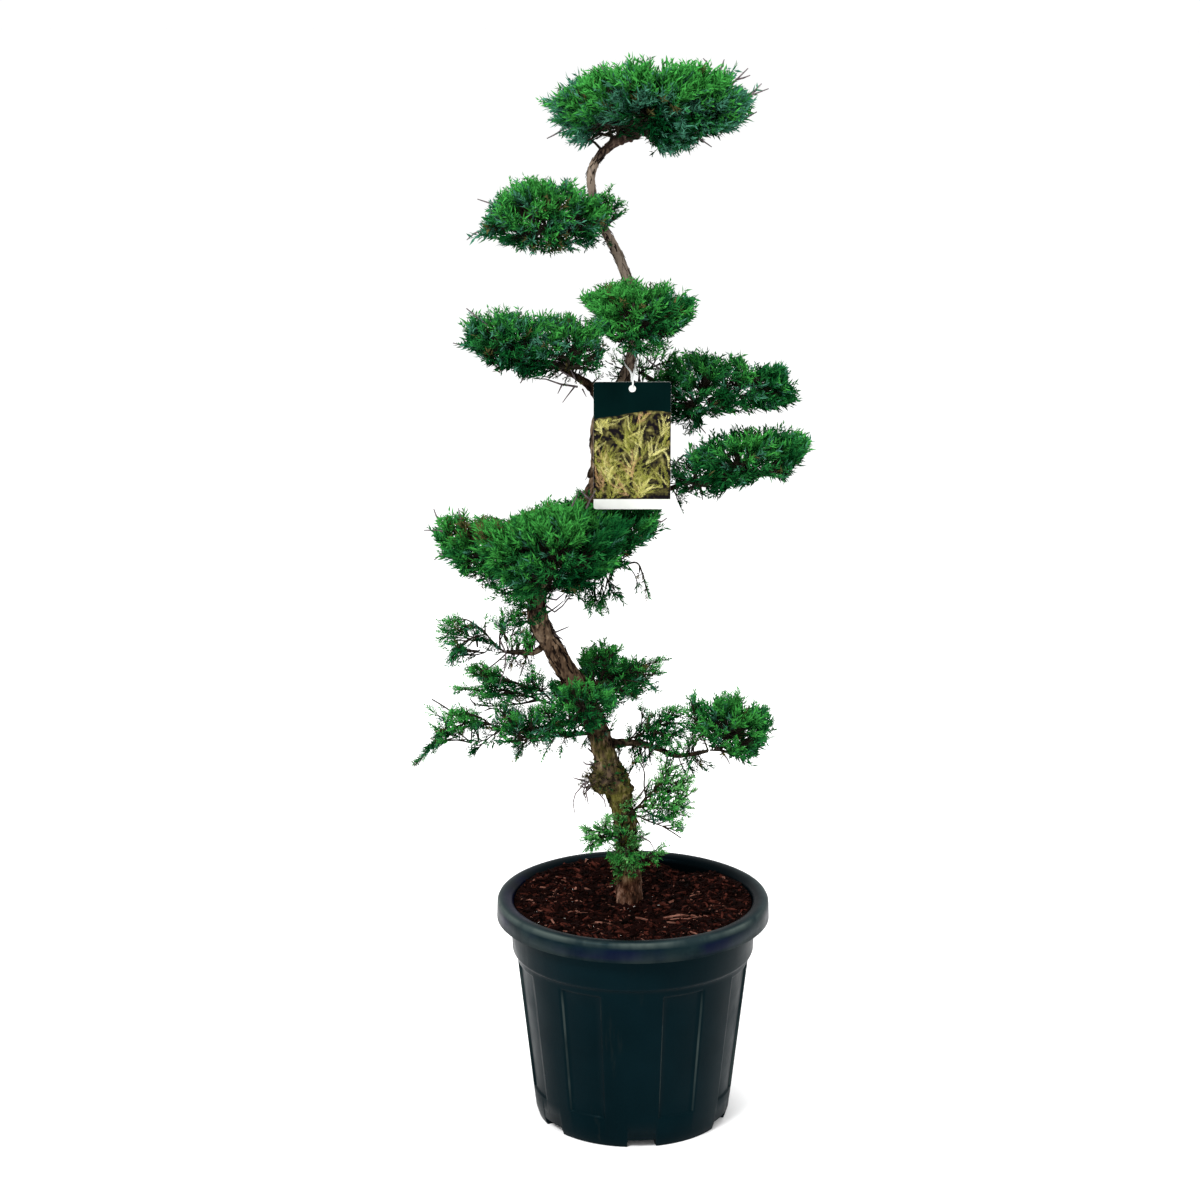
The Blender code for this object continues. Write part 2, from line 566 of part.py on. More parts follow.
def make_tag():
    width, thickness, height = TAG_SIZE
    bm = bmesh.new()
    bmesh.ops.create_cube(bm, size=1.0, matrix=Matrix.Diagonal((width, thickness, height, 1.0)))
    upright = [edge for edge in bm.edges if abs(edge.verts[0].co.y - edge.verts[1].co.y) > thickness / 2]
    bmesh.ops.bevel(bm, geom=upright, offset=TAG_CORNER, segments=3, affect="EDGES", profile=0.5)
    tag = add_object("plant_tag", mesh_from(bm, "plant_tag"),
                     finish=material("tag_card", (0.55, 0.56, 0.40, 1.0), 0.45))
    tag.location = TAG_TOP_MIDDLE - Vector((0.0, 0.0, height / 2.0))
    hole = bmesh.new()
    bmesh.ops.create_cone(hole, segments=12, radius1=TAG_HOLE, radius2=TAG_HOLE, depth=0.02, cap_ends=True,
                          matrix=Matrix.Rotation(math.pi / 2, 4, "X"))
    punch = add_object("tag_punch", mesh_from(hole, "tag_punch"), tag_cutters)
    punch.location = TAG_TOP_MIDDLE - Vector((0.0, 0.0, TAG_HOLE_DROP))
    combine(tag, tag_cutters, "DIFFERENCE")


def loop_line():
    """Once round the trunk, down in front of it, through the tag's hole and back up behind the tag."""
    round_trunk = LOOP_TRUNK_RADIUS + LOOP_RADIUS + GAP
    bight = TAG_TOP_MIDDLE - Vector((0.0, 0.0, TAG_HOLE_DROP - TAG_HOLE + LOOP_RADIUS + GAP))
    card = TAG_SIZE[1] / 2.0 + LOOP_RADIUS + GAP
    line = []
    for index in range(LOOP_STEPS + 1):
        angle = math.radians(LOOP_START + LOOP_SPAN * index / LOOP_STEPS)
        height = LOOP_TRUNK_Z - LOOP_DIP * (1.0 - math.sin(angle))
        outward = Vector((math.cos(angle), math.sin(angle), 0.0))
        line.append(trunk_centre(height) + outward * round_trunk)
    meet_left = Vector((bight.x - 0.0016, bight.y + 0.007, 1.0085))
    meet_right = meet_left + Vector((0.0034, 0.0, 0.0))
    line += [line[-1].lerp(meet_left, 0.5), meet_left]
    line += [bight + Vector((-0.0008, card + 0.0016, 0.0065)), bight + Vector((-0.0006, card, 0.0018)),
             bight + Vector((-0.0002, card * 0.6, 0.0)), bight + Vector((0.0002, -card * 0.6, 0.0)),
             bight + Vector((0.0006, -card, 0.0018)), bight + Vector((0.0010, -card + 0.0002, 0.0085))]
    line += [meet_right, meet_right.lerp(line[0], 0.5)]
    return line


def make_loop():
    curve = bpy.data.curves.new("tag_loop", "CURVE")
    curve.dimensions = "3D"
    curve.bevel_depth = LOOP_RADIUS
    curve.bevel_resolution = 1
    line = loop_line()
    spline = curve.splines.new("POLY")
    spline.use_cyclic_u = True
    spline.points.add(len(line) - 1)
    for point, place in zip(spline.points, line):
        point.co = (*place, 1.0)
    loop = bpy.data.objects.new("tag_loop", curve)
    plant.objects.link(loop)
    curve.materials.append(material("loop_plastic", (0.85, 0.85, 0.82, 1.0), 0.4))


def surface_of(objects):
    """A search tree over the faces of several objects."""
    points, faces = [], []
    for item in objects:
        mesh = evaluated_mesh(item)
        start = len(points)
        points += [item.matrix_world @ vertex.co for vertex in mesh.vertices]
        faces += [[start + index for index in polygon.vertices] for polygon in mesh.polygons]
        bpy.data.meshes.remove(mesh)
    return BVHTree.FromPolygons(points, faces)


def cutter_collection(name):
    made = bpy.data.collections.new(name)
    cutters.children.link(made)
    made.hide_render = True
    return made


pot_cutters = cutter_collection("pot_cutters")
limb_cutters = cutter_collection("limb_cutters")
tag_cutters = cutter_collection("tag_cutters")
make_pot()
make_soil()
make_limbs()
make_tag()
make_loop()
limbs_surface = surface_of(plant.objects)
green = material("foliage", (0.020, 0.115, 0.045, 1.0), 0.7)
masses = [Mass(name) for name in MASSES]
for each in masses:
    grow(each)
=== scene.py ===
import json
import math
import random

import bmesh
import bpy
from mathutils import Euler, Matrix, Vector, noise
from mathutils.bvhtree import BVHTree
from mathutils.geometry import tessellate_polygon

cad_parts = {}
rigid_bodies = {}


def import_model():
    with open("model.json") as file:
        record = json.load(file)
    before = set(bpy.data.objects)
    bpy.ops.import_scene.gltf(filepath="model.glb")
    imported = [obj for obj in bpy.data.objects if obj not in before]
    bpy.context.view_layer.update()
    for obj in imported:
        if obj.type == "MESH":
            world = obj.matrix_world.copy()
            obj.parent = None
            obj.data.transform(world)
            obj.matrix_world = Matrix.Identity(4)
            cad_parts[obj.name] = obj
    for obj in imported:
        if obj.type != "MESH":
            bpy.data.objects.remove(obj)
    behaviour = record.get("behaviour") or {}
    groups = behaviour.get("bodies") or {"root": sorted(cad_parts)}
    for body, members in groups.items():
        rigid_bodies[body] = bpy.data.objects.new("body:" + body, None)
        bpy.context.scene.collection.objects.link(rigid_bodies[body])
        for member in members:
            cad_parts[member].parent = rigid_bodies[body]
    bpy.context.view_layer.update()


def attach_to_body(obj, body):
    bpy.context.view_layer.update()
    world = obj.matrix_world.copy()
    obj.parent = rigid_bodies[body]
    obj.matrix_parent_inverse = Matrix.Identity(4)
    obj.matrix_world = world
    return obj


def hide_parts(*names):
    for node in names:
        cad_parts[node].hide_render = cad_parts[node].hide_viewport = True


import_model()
scene = bpy.context.scene
print("frame loaded")


# helpers
def linkTo(target, name, mesh):
    made = bpy.data.objects.new(name, mesh)
    target.objects.link(made)
    return made


def addMesh(name, points, faces, finish, smooth=True):
    mesh = bpy.data.meshes.new(name)
    mesh.from_pydata([tuple(p) for p in points], [], faces)
    mesh.materials.append(finish)
    mesh.polygons.foreach_set("use_smooth", [smooth] * len(mesh.polygons))
    return linkTo(scene.collection, name, mesh)


def meshFrom(bm, name):
    mesh = bpy.data.meshes.new(name)
    bm.to_mesh(mesh)
    bm.free()
    return mesh


def outward(mesh):
    bm = bmesh.new()
    bm.from_mesh(mesh)
    bmesh.ops.recalc_face_normals(bm, faces=bm.faces)
    bm.to_mesh(mesh)
    bm.free()


def asPlainMesh(thing, name):
    # the evaluated object as a plain mesh; the thing itself goes
    bpy.context.view_layer.update()
    graph = bpy.context.evaluated_depsgraph_get()
    mesh = bpy.data.meshes.new_from_object(thing.evaluated_get(graph), depsgraph=graph)
    mesh.name = name
    bpy.data.objects.remove(thing, do_unlink=True)
    return linkTo(scene.collection, name, mesh)


def settle(piece, slot, *nodes):
    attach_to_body(piece, "root")
    if nodes:
        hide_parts(*nodes)


def blendLine(points, steps):
    # smooth curve through the points; every number of a point is blended, the radius too
    ends = [points[0]] + list(points) + [points[-1]]
    line = []
    for before, start, stop, after in zip(ends, ends[1:], ends[2:], ends[3:]):
        for step in range(steps):
            t = step / steps
            line.append(tuple(
                0.5 * (2 * b + (c - a) * t + (2 * a - 5 * b + 4 * c - d) * t * t
                       + (3 * b - a - 3 * c + d) * t ** 3)
                for a, b, c, d in zip(before, start, stop, after)))
    return line + [tuple(points[-1])]


def attach(thing, name, values):
    thing.data.attributes.new(name, "FLOAT", "POINT").data.foreach_set("value", values)


def wander(chance):
    return Vector((chance.gauss(0, 1), chance.gauss(0, 1), chance.gauss(0, 1)))


def smoothStep(low, high, value):
    t = max(0.0, min(1.0, (value - low) / (high - low)))
    return t * t * (3.0 - 2.0 * t)


anyTurn = (0.0, 6.28)  # the range of a turn dealt at random, in radians


# camera and light
view = {
    "place": (-0.0437, -3.5, 1.6),
    "pitchDown": 14.3,
    "lens": 83.88,
    "sensorWidth": 36.0,
}
cameraData = bpy.data.cameras.new("camera")
cameraData.lens = view["lens"]
cameraData.sensor_width = view["sensorWidth"]
camera = bpy.data.objects.new("camera", cameraData)
camera.location = view["place"]
camera.rotation_euler = (math.radians(90.0 - view["pitchDown"]), 0.0, 0.0)
scene.collection.objects.link(camera)
scene.camera = camera

studio = {
    "floorColour": (0.97, 0.97, 0.97, 1.0),
    "floorReach": 30.0,
    "skyColour": (1.0, 1.0, 1.0, 1.0),
    "skyStrength": 1.04,
    # name: place, aimed at, size, watts
    "lamps": {
        "keyLamp": ((-1.5, -2.3, 2.9), (-0.03, 0.0, 0.85), 1.2, 140.0),
        "topLamp": ((0.4, 0.3, 3.4), (0.0, 0.0, 0.9), 1.2, 60.0),
        "sideLamp": ((2.2, -0.8, 1.4), (0.0, 0.0, 0.7), 0.9, 12.0),
    },
}


def lightStudio():
    world = bpy.data.worlds.new("studio")
    scene.world = world
    world.use_nodes = True
    background = world.node_tree.nodes["Background"]
    background.inputs["Color"].default_value = studio["skyColour"]
    background.inputs["Strength"].default_value = studio["skyStrength"]
    for name, (place, target, size, watts) in studio["lamps"].items():
        lamp = bpy.data.lights.new(name, "AREA")
        lamp.shape = "DISK"
        lamp.size = size
        lamp.energy = watts
        item = bpy.data.objects.new(name, lamp)
        item.location = place
        way = Vector(target) - Vector(place)
        item.rotation_euler = way.to_track_quat("-Z", "Y").to_euler()
        scene.collection.objects.link(item)
    floorFinish = bpy.data.materials.new("paleFloor")
    floorFinish.use_nodes = True
    shader = floorFinish.node_tree.nodes["Principled BSDF"]
    shader.inputs["Base Color"].default_value = studio["floorColour"]
    shader.inputs["Roughness"].default_value = 0.9
    shader.inputs["Specular IOR Level"].default_value = 0.1
    reach = studio["floorReach"]
    corners = [(-reach, -reach, 0), (reach, -reach, 0), (reach, reach, 0), (-reach, reach, 0)]
    floor = addMesh("floor", corners, [(0, 1, 2, 3)], floorFinish, False)


lightStudio()
scene.view_settings.view_transform = "Standard"
print("camera, lamps and floor stand")


# finishes
class Finish:
    # a procedural material on Object coordinates, built up step by step
    def __init__(self, name, roughness, specular=0.5, glossTint=None):
        self.material = bpy.data.materials.new(name)
        self.material.use_nodes = True
        self.nodes = self.material.node_tree.nodes
        self.links = self.material.node_tree.links
        self.shader = self.nodes["Principled BSDF"]
        self.shader.inputs["Roughness"].default_value = roughness
        self.shader.inputs["Specular IOR Level"].default_value = specular
        if glossTint:
            self.shader.inputs["Specular Tint"].default_value = (*glossTint, 1.0)
        self.place = self.nodes.new("ShaderNodeTexCoord").outputs["Object"]

    def stretched(self, scale):
        mapping = self.nodes.new("ShaderNodeMapping")
        mapping.inputs["Scale"].default_value = scale
        self.links.new(self.place, mapping.inputs["Vector"])
        return mapping.outputs["Vector"]

    def noise(self, scale, detail=3.0, roughness=0.55, stretch=None):
        node = self.nodes.new("ShaderNodeTexNoise")
        node.inputs["Scale"].default_value = scale
        node.inputs["Detail"].default_value = detail
        node.inputs["Roughness"].default_value = roughness
        self.links.new(self.stretched(stretch) if stretch else self.place, node.inputs["Vector"])
        return node.outputs["Fac"]

    def ramp(self, value, stops):
        node = self.nodes.new("ShaderNodeValToRGB")
        spots = node.color_ramp.elements
        while len(spots) < len(stops):
            spots.new(0.5)
        for spot, (at, colour) in zip(spots, stops):
            spot.position = at
            spot.color = (*colour, 1.0)
        self.links.new(value, node.inputs["Fac"])
        return node.outputs["Color"]

    def range(self, value, low, high, toLow=0.0, toHigh=1.0):
        node = self.nodes.new("ShaderNodeMapRange")
        for label, number in (("From Min", low), ("From Max", high), ("To Min", toLow), ("To Max", toHigh)):
            node.inputs[label].default_value = number
        self.links.new(value, node.inputs["Value"])
        return node.outputs["Result"]

    def times(self, one, other, kind="MULTIPLY"):
        node = self.nodes.new("ShaderNodeMath")
        node.operation = kind
        self.links.new(one, node.inputs[0])
        if isinstance(other, float):
            node.inputs[1].default_value = other
        else:
            self.links.new(other, node.inputs[1])
        return node.outputs["Value"]

    def attribute(self, name):
        node = self.nodes.new("ShaderNodeAttribute")
        node.attribute_name = name
        return node.outputs["Fac"]

    def height(self):
        node = self.nodes.new("ShaderNodeSeparateXYZ")
        self.links.new(self.place, node.inputs["Vector"])
        return node.outputs["Z"]

    def mix(self, share, under, over):
        # a mix node has its colours on inputs 6 and 7 and output 2
        node = self.nodes.new("ShaderNodeMix")
        node.data_type = "RGBA"
        self.links.new(share, node.inputs["Factor"])
        for socket, colour in ((node.inputs[6], under), (node.inputs[7], over)):
            if isinstance(colour, tuple):
                socket.default_value = (*colour, 1.0)
            else:
                self.links.new(colour, socket)
        return node.outputs[2]

    def colour(self, value):
        self.links.new(value, self.shader.inputs["Base Color"])

    def rough(self, value):
        self.links.new(value, self.shader.inputs["Roughness"])

    def bump(self, value, distance, strength=1.0):
        node = self.nodes.new("ShaderNodeBump")
        node.inputs["Distance"].default_value = distance
        node.inputs["Strength"].default_value = strength
        self.links.new(value, node.inputs["Height"])
        if self.shader.inputs["Normal"].is_linked:
            self.links.new(self.shader.inputs["Normal"].links[0].from_socket, node.inputs["Normal"])
        self.links.new(node.outputs["Normal"], self.shader.inputs["Normal"])


def leafFinish(name, foot, tips):
    # darker at a spray's foot as painted shade, lighter towards its tips as painted highlight, and a little
    # patchy
    made = Finish(name, 0.6, 0.008, (0.3, 1.0, 0.4))
    patchy = made.range(made.noise(60.0, 4.0, 0.65), 0.3, 0.7, -0.24, 0.24)
    specks = made.range(made.noise(210.0, 2.0, 0.6), 0.34, 0.66, -0.34, 0.3)
    share = made.times(made.times(made.attribute("tip"), patchy, "ADD"), specks, "ADD")
    made.colour(made.ramp(share, [(0.05, foot), (0.95, tips)]))
    made.bump(made.noise(900.0, 1.0), 0.0004, 0.5)
    return made.material


barkHeights = {
    # where each part of the trunk's colour fades in or out, in metres above the floor
    "pale": (0.9, 1.12),
    "paleEnd": (1.292, 1.262),
    "tip": (1.27, 1.298),
    "foot": (0.35, 0.325),
    "moss": (0.56, 0.46),
    "mossFoot": (0.318, 0.345),
}


def barkFinish(name, isTrunk, tone=1.0):
    # the mesh carries "relief", dark in the cracks and light on the plates
    made = Finish(name, 0.85, 0.05)
    strands = made.noise(110.0, 6.0, 0.72, (1.0, 1.0, 0.2))
    share = made.times(made.times(strands, 0.62), made.times(made.attribute("relief"), 0.42), "ADD")
    stops = [(0.36, (0.0034, 0.0016, 0.0009)), (0.47, (0.024, 0.0125, 0.0062)),
             (0.58, (0.085, 0.051, 0.028)), (0.74, (0.3, 0.215, 0.145))]
    wood = made.ramp(share, [(at, tuple(part * tone for part in colour)) for at, colour in stops])
    grey = made.range(made.noise(16.0, 3.0, 0.6), 0.48, 0.64)
    wood = made.mix(made.times(grey, 0.3 * tone), wood, (0.06, 0.048, 0.036))
    if isTrunk:
        pale = made.range(made.height(), *barkHeights["pale"], 0.05, 0.6)
        pale = made.times(pale, made.range(share, 0.34, 0.54))
        pale = made.times(pale, made.range(made.height(), *barkHeights["paleEnd"]))
        wood = made.mix(pale, wood, (0.245, 0.2, 0.165))
        tip = made.ramp(strands, [(0.4, (0.006, 0.0036, 0.0034)), (0.62, (0.09, 0.056, 0.05))])
        wood = made.mix(made.range(made.height(), *barkHeights["tip"], 0.0, 0.85), wood, tip)
        foot = made.ramp(strands, [(0.38, (0.008, 0.002, 0.001)), (0.5, (0.052, 0.019, 0.0095)),
                                   (0.66, (0.26, 0.15, 0.11))])
        wood = made.mix(made.range(made.height(), *barkHeights["foot"], 0.0, 0.85), wood, foot)
        low = made.range(made.height(), *barkHeights["moss"])
        low = made.times(low, made.range(made.height(), *barkHeights["mossFoot"], 0.02, 1.0))
        patches = made.range(made.noise(48.0, 4.0, 0.65), 0.4, 0.56)
        green = made.ramp(strands, [(0.38, (0.008, 0.0085, 0.0008)), (0.64, (0.15, 0.14, 0.028))])
        wood = made.mix(made.times(made.times(low, patches), 0.9), wood, green)
    made.colour(wood)
    made.bump(strands, 0.0024)
    made.bump(made.noise(420.0, 3.0), 0.0008, 0.8)
    return made.material


# pot
potPlan = {
    "outside": [(0.165, 0.304), (0.17, 0.305), (0.1745, 0.3047), (0.178, 0.303), (0.1796, 0.3),
                (0.18, 0.296), (0.1806, 0.278), (0.179, 0.2776), (0.1778, 0.2785), (0.1768, 0.2945),
                (0.1745, 0.296), (0.1655, 0.296), (0.1636, 0.294), (0.1624, 0.278), (0.1602, 0.2345),
                (0.1592, 0.2318), (0.1565, 0.23), (0.1552, 0.228), (0.1545, 0.225)],
    "wall": ((0.1545, 0.225), (0.1336, 0.04)),
    "foot": [(0.1336, 0.04), (0.13, 0.011), (0.1268, 0.0008), (0.1262, 0.0), (0.1163, 0.0),
             (0.1158, 0.0008), (0.115, 0.011), (0.0312, 0.011), (0.0302, 0.0008), (0.0297, 0.0)],
    "inside": [(0.1222, 0.0135), (0.1255, 0.04), (0.146, 0.225), (0.1545, 0.24), (0.157, 0.278),
               (0.158, 0.295), (0.1588, 0.2985), (0.1612, 0.3022)],
    "recessDepth": 0.003,
    "recessRange": (0.042, 0.219),
    "frontPanel": (-16.5, 14.5),
    "recessesASide": 4,
    "edge": 0.0011,
    # painted highlight on the rim's edges where above 0, painted shade on the inner part of the rim's top
    # where below 0
    "paintedShading": {0: -0.9, 1: -0.6, 2: -0.2, 3: 0.9, 4: 0.45, 5: 0.0, 6: 0.2, 12: 0.2},  # by row of the outside
    # painted highlight along the pressed edges, upright and across
    "pressedHighlight": (2.4, 0.3),  # along upright edges and along those across
    "notches": (6, 5.0, 17.0),  # how many, the first one's middle and their width in degrees
    "footHollow": 0.011,
    "meanRadius": 0.14,
    "columns": 144,  # besides those along the pressed edges
    # heights between which the rim's colours fade in: painted reflection, painted highlight on its top and
    # a band of painted shade
    "rimFrom": (0.279, 0.284),
    "rimShadeBand": (0.299, 0.293),
    "rimHighlightBand": (0.2955, 0.3015),
}


def potFinish():
    made = Finish("potPlastic", 0.36, 0.027, (0.4, 0.85, 1.0))
    tone = made.noise(7.0, 3.0, 0.6)
    plastic = made.ramp(tone, [(0.32, (0.0003, 0.0034, 0.0048)), (0.7, (0.0008, 0.0056, 0.0078))])
    # "edge" is 1 along the pressed edges and -1 on the inner wall: above 0 it places painted highlight,
    # below 0 painted shade
    streaks = made.range(made.noise(13.0, 4.0, 0.6, (1.0, 1.0, 0.3)), 0.44, 0.62, 0.0, 0.95)
    edgeHighlight = made.times(made.range(made.attribute("edge"), 0.0, 1.0), streaks)
    # painted reflection: lighter mottled patches on the rim's outer roll
    rim = made.range(made.height(), *potPlan["rimFrom"])
    rimSheen = made.range(made.noise(15.0, 4.0, 0.6, (1.0, 1.0, 2.0)), 0.44, 0.62, 0.0, 0.7)
    plastic = made.mix(made.times(rim, rimSheen), plastic, (0.007, 0.015, 0.017))
    # painted highlight along the rim's top
    rimHighlight = made.range(made.height(), *potPlan["rimHighlightBand"])
    rimHighlight = made.times(rimHighlight, made.range(made.noise(9.0), 0.4, 0.6, 0.25, 0.85))
    plastic = made.mix(rimHighlight, plastic, (0.016, 0.026, 0.028))
    # painted shade: a mottled navy band on the rim's outer face below its top
    rim = made.times(rim, made.range(made.height(), *potPlan["rimShadeBand"]))
    rimShade = made.times(rim, made.range(made.noise(8.0, 3.0, 0.5), 0.46, 0.56, 0.0, 0.9))
    plastic = made.mix(rimShade, plastic, (0.0008, 0.0016, 0.013))
    # painted highlight along the pressed edges and the rim's edges
    plastic = made.mix(edgeHighlight, plastic, (0.056, 0.072, 0.066))
    # painted shade: the inner wall and the rim's inner top darker and navy, as in shadow
    inner = made.ramp(made.noise(5.0), [(0.48, (0.0004, 0.0016, 0.0024)), (0.58, (0.0006, 0.0012, 0.013))])
    plastic = made.mix(made.range(made.attribute("edge"), -0.1, -0.9), plastic, inner)
    scuffs = made.range(made.noise(60.0, 5.0, 0.7, (1.0, 1.0, 0.12)), 0.6, 0.82, 0.0, 0.22)
    dusty = made.times(made.range(made.height(), 0.2, 0.0, 0.25, 1.0), scuffs)
    made.colour(made.mix(dusty, plastic, (0.05, 0.046, 0.034)))
    made.rough(made.range(made.noise(24.0, 4.0, 0.6), 0.3, 0.7, 0.27, 0.44))
    made.bump(made.noise(380.0, 2.0), 0.00012, 0.6)
    made.bump(made.noise(9.0, 2.0), 0.0012, 0.5)
    return made.material


def potAngles(edges, notchEdges):
    # columns round the pot in degrees, close together at every pressed edge
    step = math.degrees(potPlan["edge"] / potPlan["meanRadius"])
    wanted = [edge + shift for edge in edges for shift in (-step, -step / 3, step / 3, step)]
    wanted += [edge + shift for edge in notchEdges for shift in (-0.25, 0.25)]
    wanted = [angle % 360.0 for angle in wanted]
    for index in range(potPlan["columns"]):
        angle = index * 360.0 / potPlan["columns"]
        if all(abs((angle - near + 180.0) % 360.0 - 180.0) > 0.6 for near in wanted):
            wanted.append(angle)
    return sorted(set(round(angle, 4) for angle in wanted))


def makePot():
    low, high = potPlan["recessRange"]
    edge, meanRadius = potPlan["edge"], potPlan["meanRadius"]
    panelStart, panelStop = potPlan["frontPanel"]
    span = (360.0 - 2.0 * (panelStop - panelStart)) / (4.0 * potPlan["recessesASide"] - 2.0)
    starts = [panelStop + 180.0 * side + 2.0 * index * span
              for side in range(2) for index in range(potPlan["recessesASide"])]
    count, first, width = potPlan["notches"]
    notchMiddles = [first + index * 360.0 / count for index in range(count)]
    angles = potAngles([start + shift for start in starts for shift in (0.0, span)],
                       [middle + side * width / 2.0 for middle in notchMiddles for side in (-1, 1)])
    (topRadius, topHeight), (footRadius, footHeight) = potPlan["wall"]
    heights = [high + 2 * edge, high + edge / 2, high - edge / 2, high - 2 * edge]
    heights += [high - 2 * edge - (high - low - 4 * edge) * index / 8 for index in range(1, 8)]
    heights += [low + 2 * edge, low + edge / 2, low - edge / 2, low - edge]
    wall = [(footRadius + (topRadius - footRadius) * (z - footHeight) / (topHeight - footHeight), z)
            for z in heights]
    profile = potPlan["outside"] + wall + potPlan["foot"][1:]
    wallRows = range(len(potPlan["outside"]), len(potPlan["outside"]) + len(wall))
    footRows = range(len(profile) - 8, len(profile) - 4)

    def pressed(angle, z):
        sideways = 0.0
        for start in starts:
            into = (angle - start) % 360.0
            if into < span:
                distance = math.radians(min(into, span - into)) * meanRadius
            else:
                distance = -math.radians(min(into - span, 360.0 - into)) * meanRadius
            sideways = max(sideways, smoothStep(-edge, edge, distance))
        return sideways * smoothStep(-edge, edge, min(z - low, high - z))

    def inNotch(angle):
        return any(abs((angle - middle + 180.0) % 360.0 - 180.0) < width / 2.0 for middle in notchMiddles)

    points, edges = [], []
    upright, across = potPlan["pressedHighlight"]
    for angle in angles:
        turn = math.radians(angle - 90.0)
        for row, (radius, z) in enumerate(profile + potPlan["inside"]):
            into = pressed(angle, z) if row in wallRows else 0.0
            radius -= potPlan["recessDepth"] * into
            # painted highlight along the pressed edges
            paintedShading = (upright if wallRows[4] <= row < wallRows[-3] else across) * into * (1.0 - into)
            # the inner wall is marked -1 for its painted shade
            edges.append(-1.0 if row >= len(profile) else potPlan["paintedShading"].get(row, paintedShading))
            if row in footRows and inNotch(angle):
                z = potPlan["footHollow"] - (0.0004 if z < 0.0005 else 0.0002)
            points.append((radius * math.cos(turn), radius * math.sin(turn), z))
    rows, columns = len(profile) + len(potPlan["inside"]), len(angles)
    faces = []
    for column in range(columns):
        here, there = column * rows, (column + 1) % columns * rows
        for row in range(rows - 1):
            if row != len(profile) - 1:
                faces.append((here + row, here + row + 1, there + row + 1, there + row))
        faces.append((here + rows - 1, here, there, there + rows - 1))
    foot, floor = len(points), len(points) + 1
    points += [(0.0, 0.0, 0.0), (0.0, 0.0, potPlan["inside"][0][1])]
    edges += [0.0, 0.0]
    for column in range(columns):
        here = column * rows + len(profile) - 1
        there = (column + 1) % columns * rows + len(profile) - 1
        faces.append((here, foot, there))
        faces.append((here + 1, there + 1, floor))
    pot = addMesh("nurseryPot", points, faces, potFinish())
    attach(pot, "edge", edges)
    outward(pot.data)
    settle(pot, "pot_plastic", "pot")


makePot()
print("pot turned")


# soil
soilPlan = {
    "top": [(0.0, 0.2902), (0.036, 0.2898), (0.08, 0.29), (0.125, 0.2935), (0.152, 0.2972),
            (0.1572, 0.2978)],
    # x, y, reach, depth
    "dips": [(0.076, 0.14, 0.034, 0.015), (-0.05, 0.17, 0.085, -0.0052), (-0.14, 0.08, 0.05, -0.002)],
    "wall": [(0.157, 0.278), (0.1545, 0.24), (0.146, 0.225), (0.1252, 0.04), (0.1219, 0.014)],
    "rings": 46,
    "columns": 150,
    "lumps": (0.0016, 0.15),  # their height, halved outside this radius
    # chips: count, smallest and largest size in metres, darker and lighter colour
    "chips": {
        "darkChips": (3500, 0.005, 0.015, (0.35, (0.001, 0.0003, 0.0002)), (0.7, (0.01, 0.0024, 0.0018))),
        "redChips": (1100, 0.004, 0.014, (0.35, (0.006, 0.0012, 0.0008)), (0.7, (0.064, 0.016, 0.0105))),
        "paleChips": (300, 0.003, 0.011, (0.3, (0.06, 0.02, 0.013)), (0.7, (0.24, 0.11, 0.08))),
        "whiteGrains": (60, 0.002, 0.004, (0.3, (0.3, 0.28, 0.25)), (0.7, (0.6, 0.58, 0.55))),
    },
    "chipReach": 0.1535,
    "chipEdge": 0.1565,  # no chip sticks out past this radius
    "chipTilt": (0.35, 0.3),
    "chipLift": (-0.0004, 0.0018),
    "chipWidth": (0.6, 1.1),
    "chipKinds": 7,
    # pale slivers to the right of the trunk: x, y, turn in degrees, length
    "slivers": [(0.054, -0.052, 20, 0.03), (0.068, -0.047, -14, 0.036), (0.06, -0.063, 8, 0.024),
                (0.049, -0.074, -6, 0.021), (0.08, -0.058, 24, 0.02), (0.012, -0.06, -30, 0.022),
                (-0.07, -0.038, 12, 0.018), (-0.04, -0.078, -18, 0.024), (0.084, 0.03, 35, 0.018)],
}


def soilHeight(x, y):
    radius = math.hypot(x, y)
    level = soilPlan["top"][-1][1]
    for (r0, z0), (r1, z1) in zip(soilPlan["top"], soilPlan["top"][1:]):
        if r0 <= radius <= r1:
            level = z0 + (z1 - z0) * (radius - r0) / (r1 - r0)
            break
    for dipX, dipY, reach, depth in soilPlan["dips"]:
        level -= depth * math.exp(-((x - dipX) ** 2 + (y - dipY) ** 2) / reach ** 2)
    lumps = noise.fractal(Vector((x, y, 0.3)) * 55.0, 0.8, 2.1, 4)
    height, reach = soilPlan["lumps"]
    return level + height * lumps * (1.0 if radius < reach else 0.5)


def soilFinish():
    made = Finish("barkSoil", 0.95, 0.02)
    crumbs = made.noise(260.0, 5.0, 0.7)
    stops = [(0.38, (0.0008, 0.0003, 0.0002)), (0.55, (0.0065, 0.0018, 0.0013)),
             (0.75, (0.046, 0.013, 0.0085))]
    made.colour(made.ramp(crumbs, stops))
    made.bump(crumbs, 0.002)
    return made.material


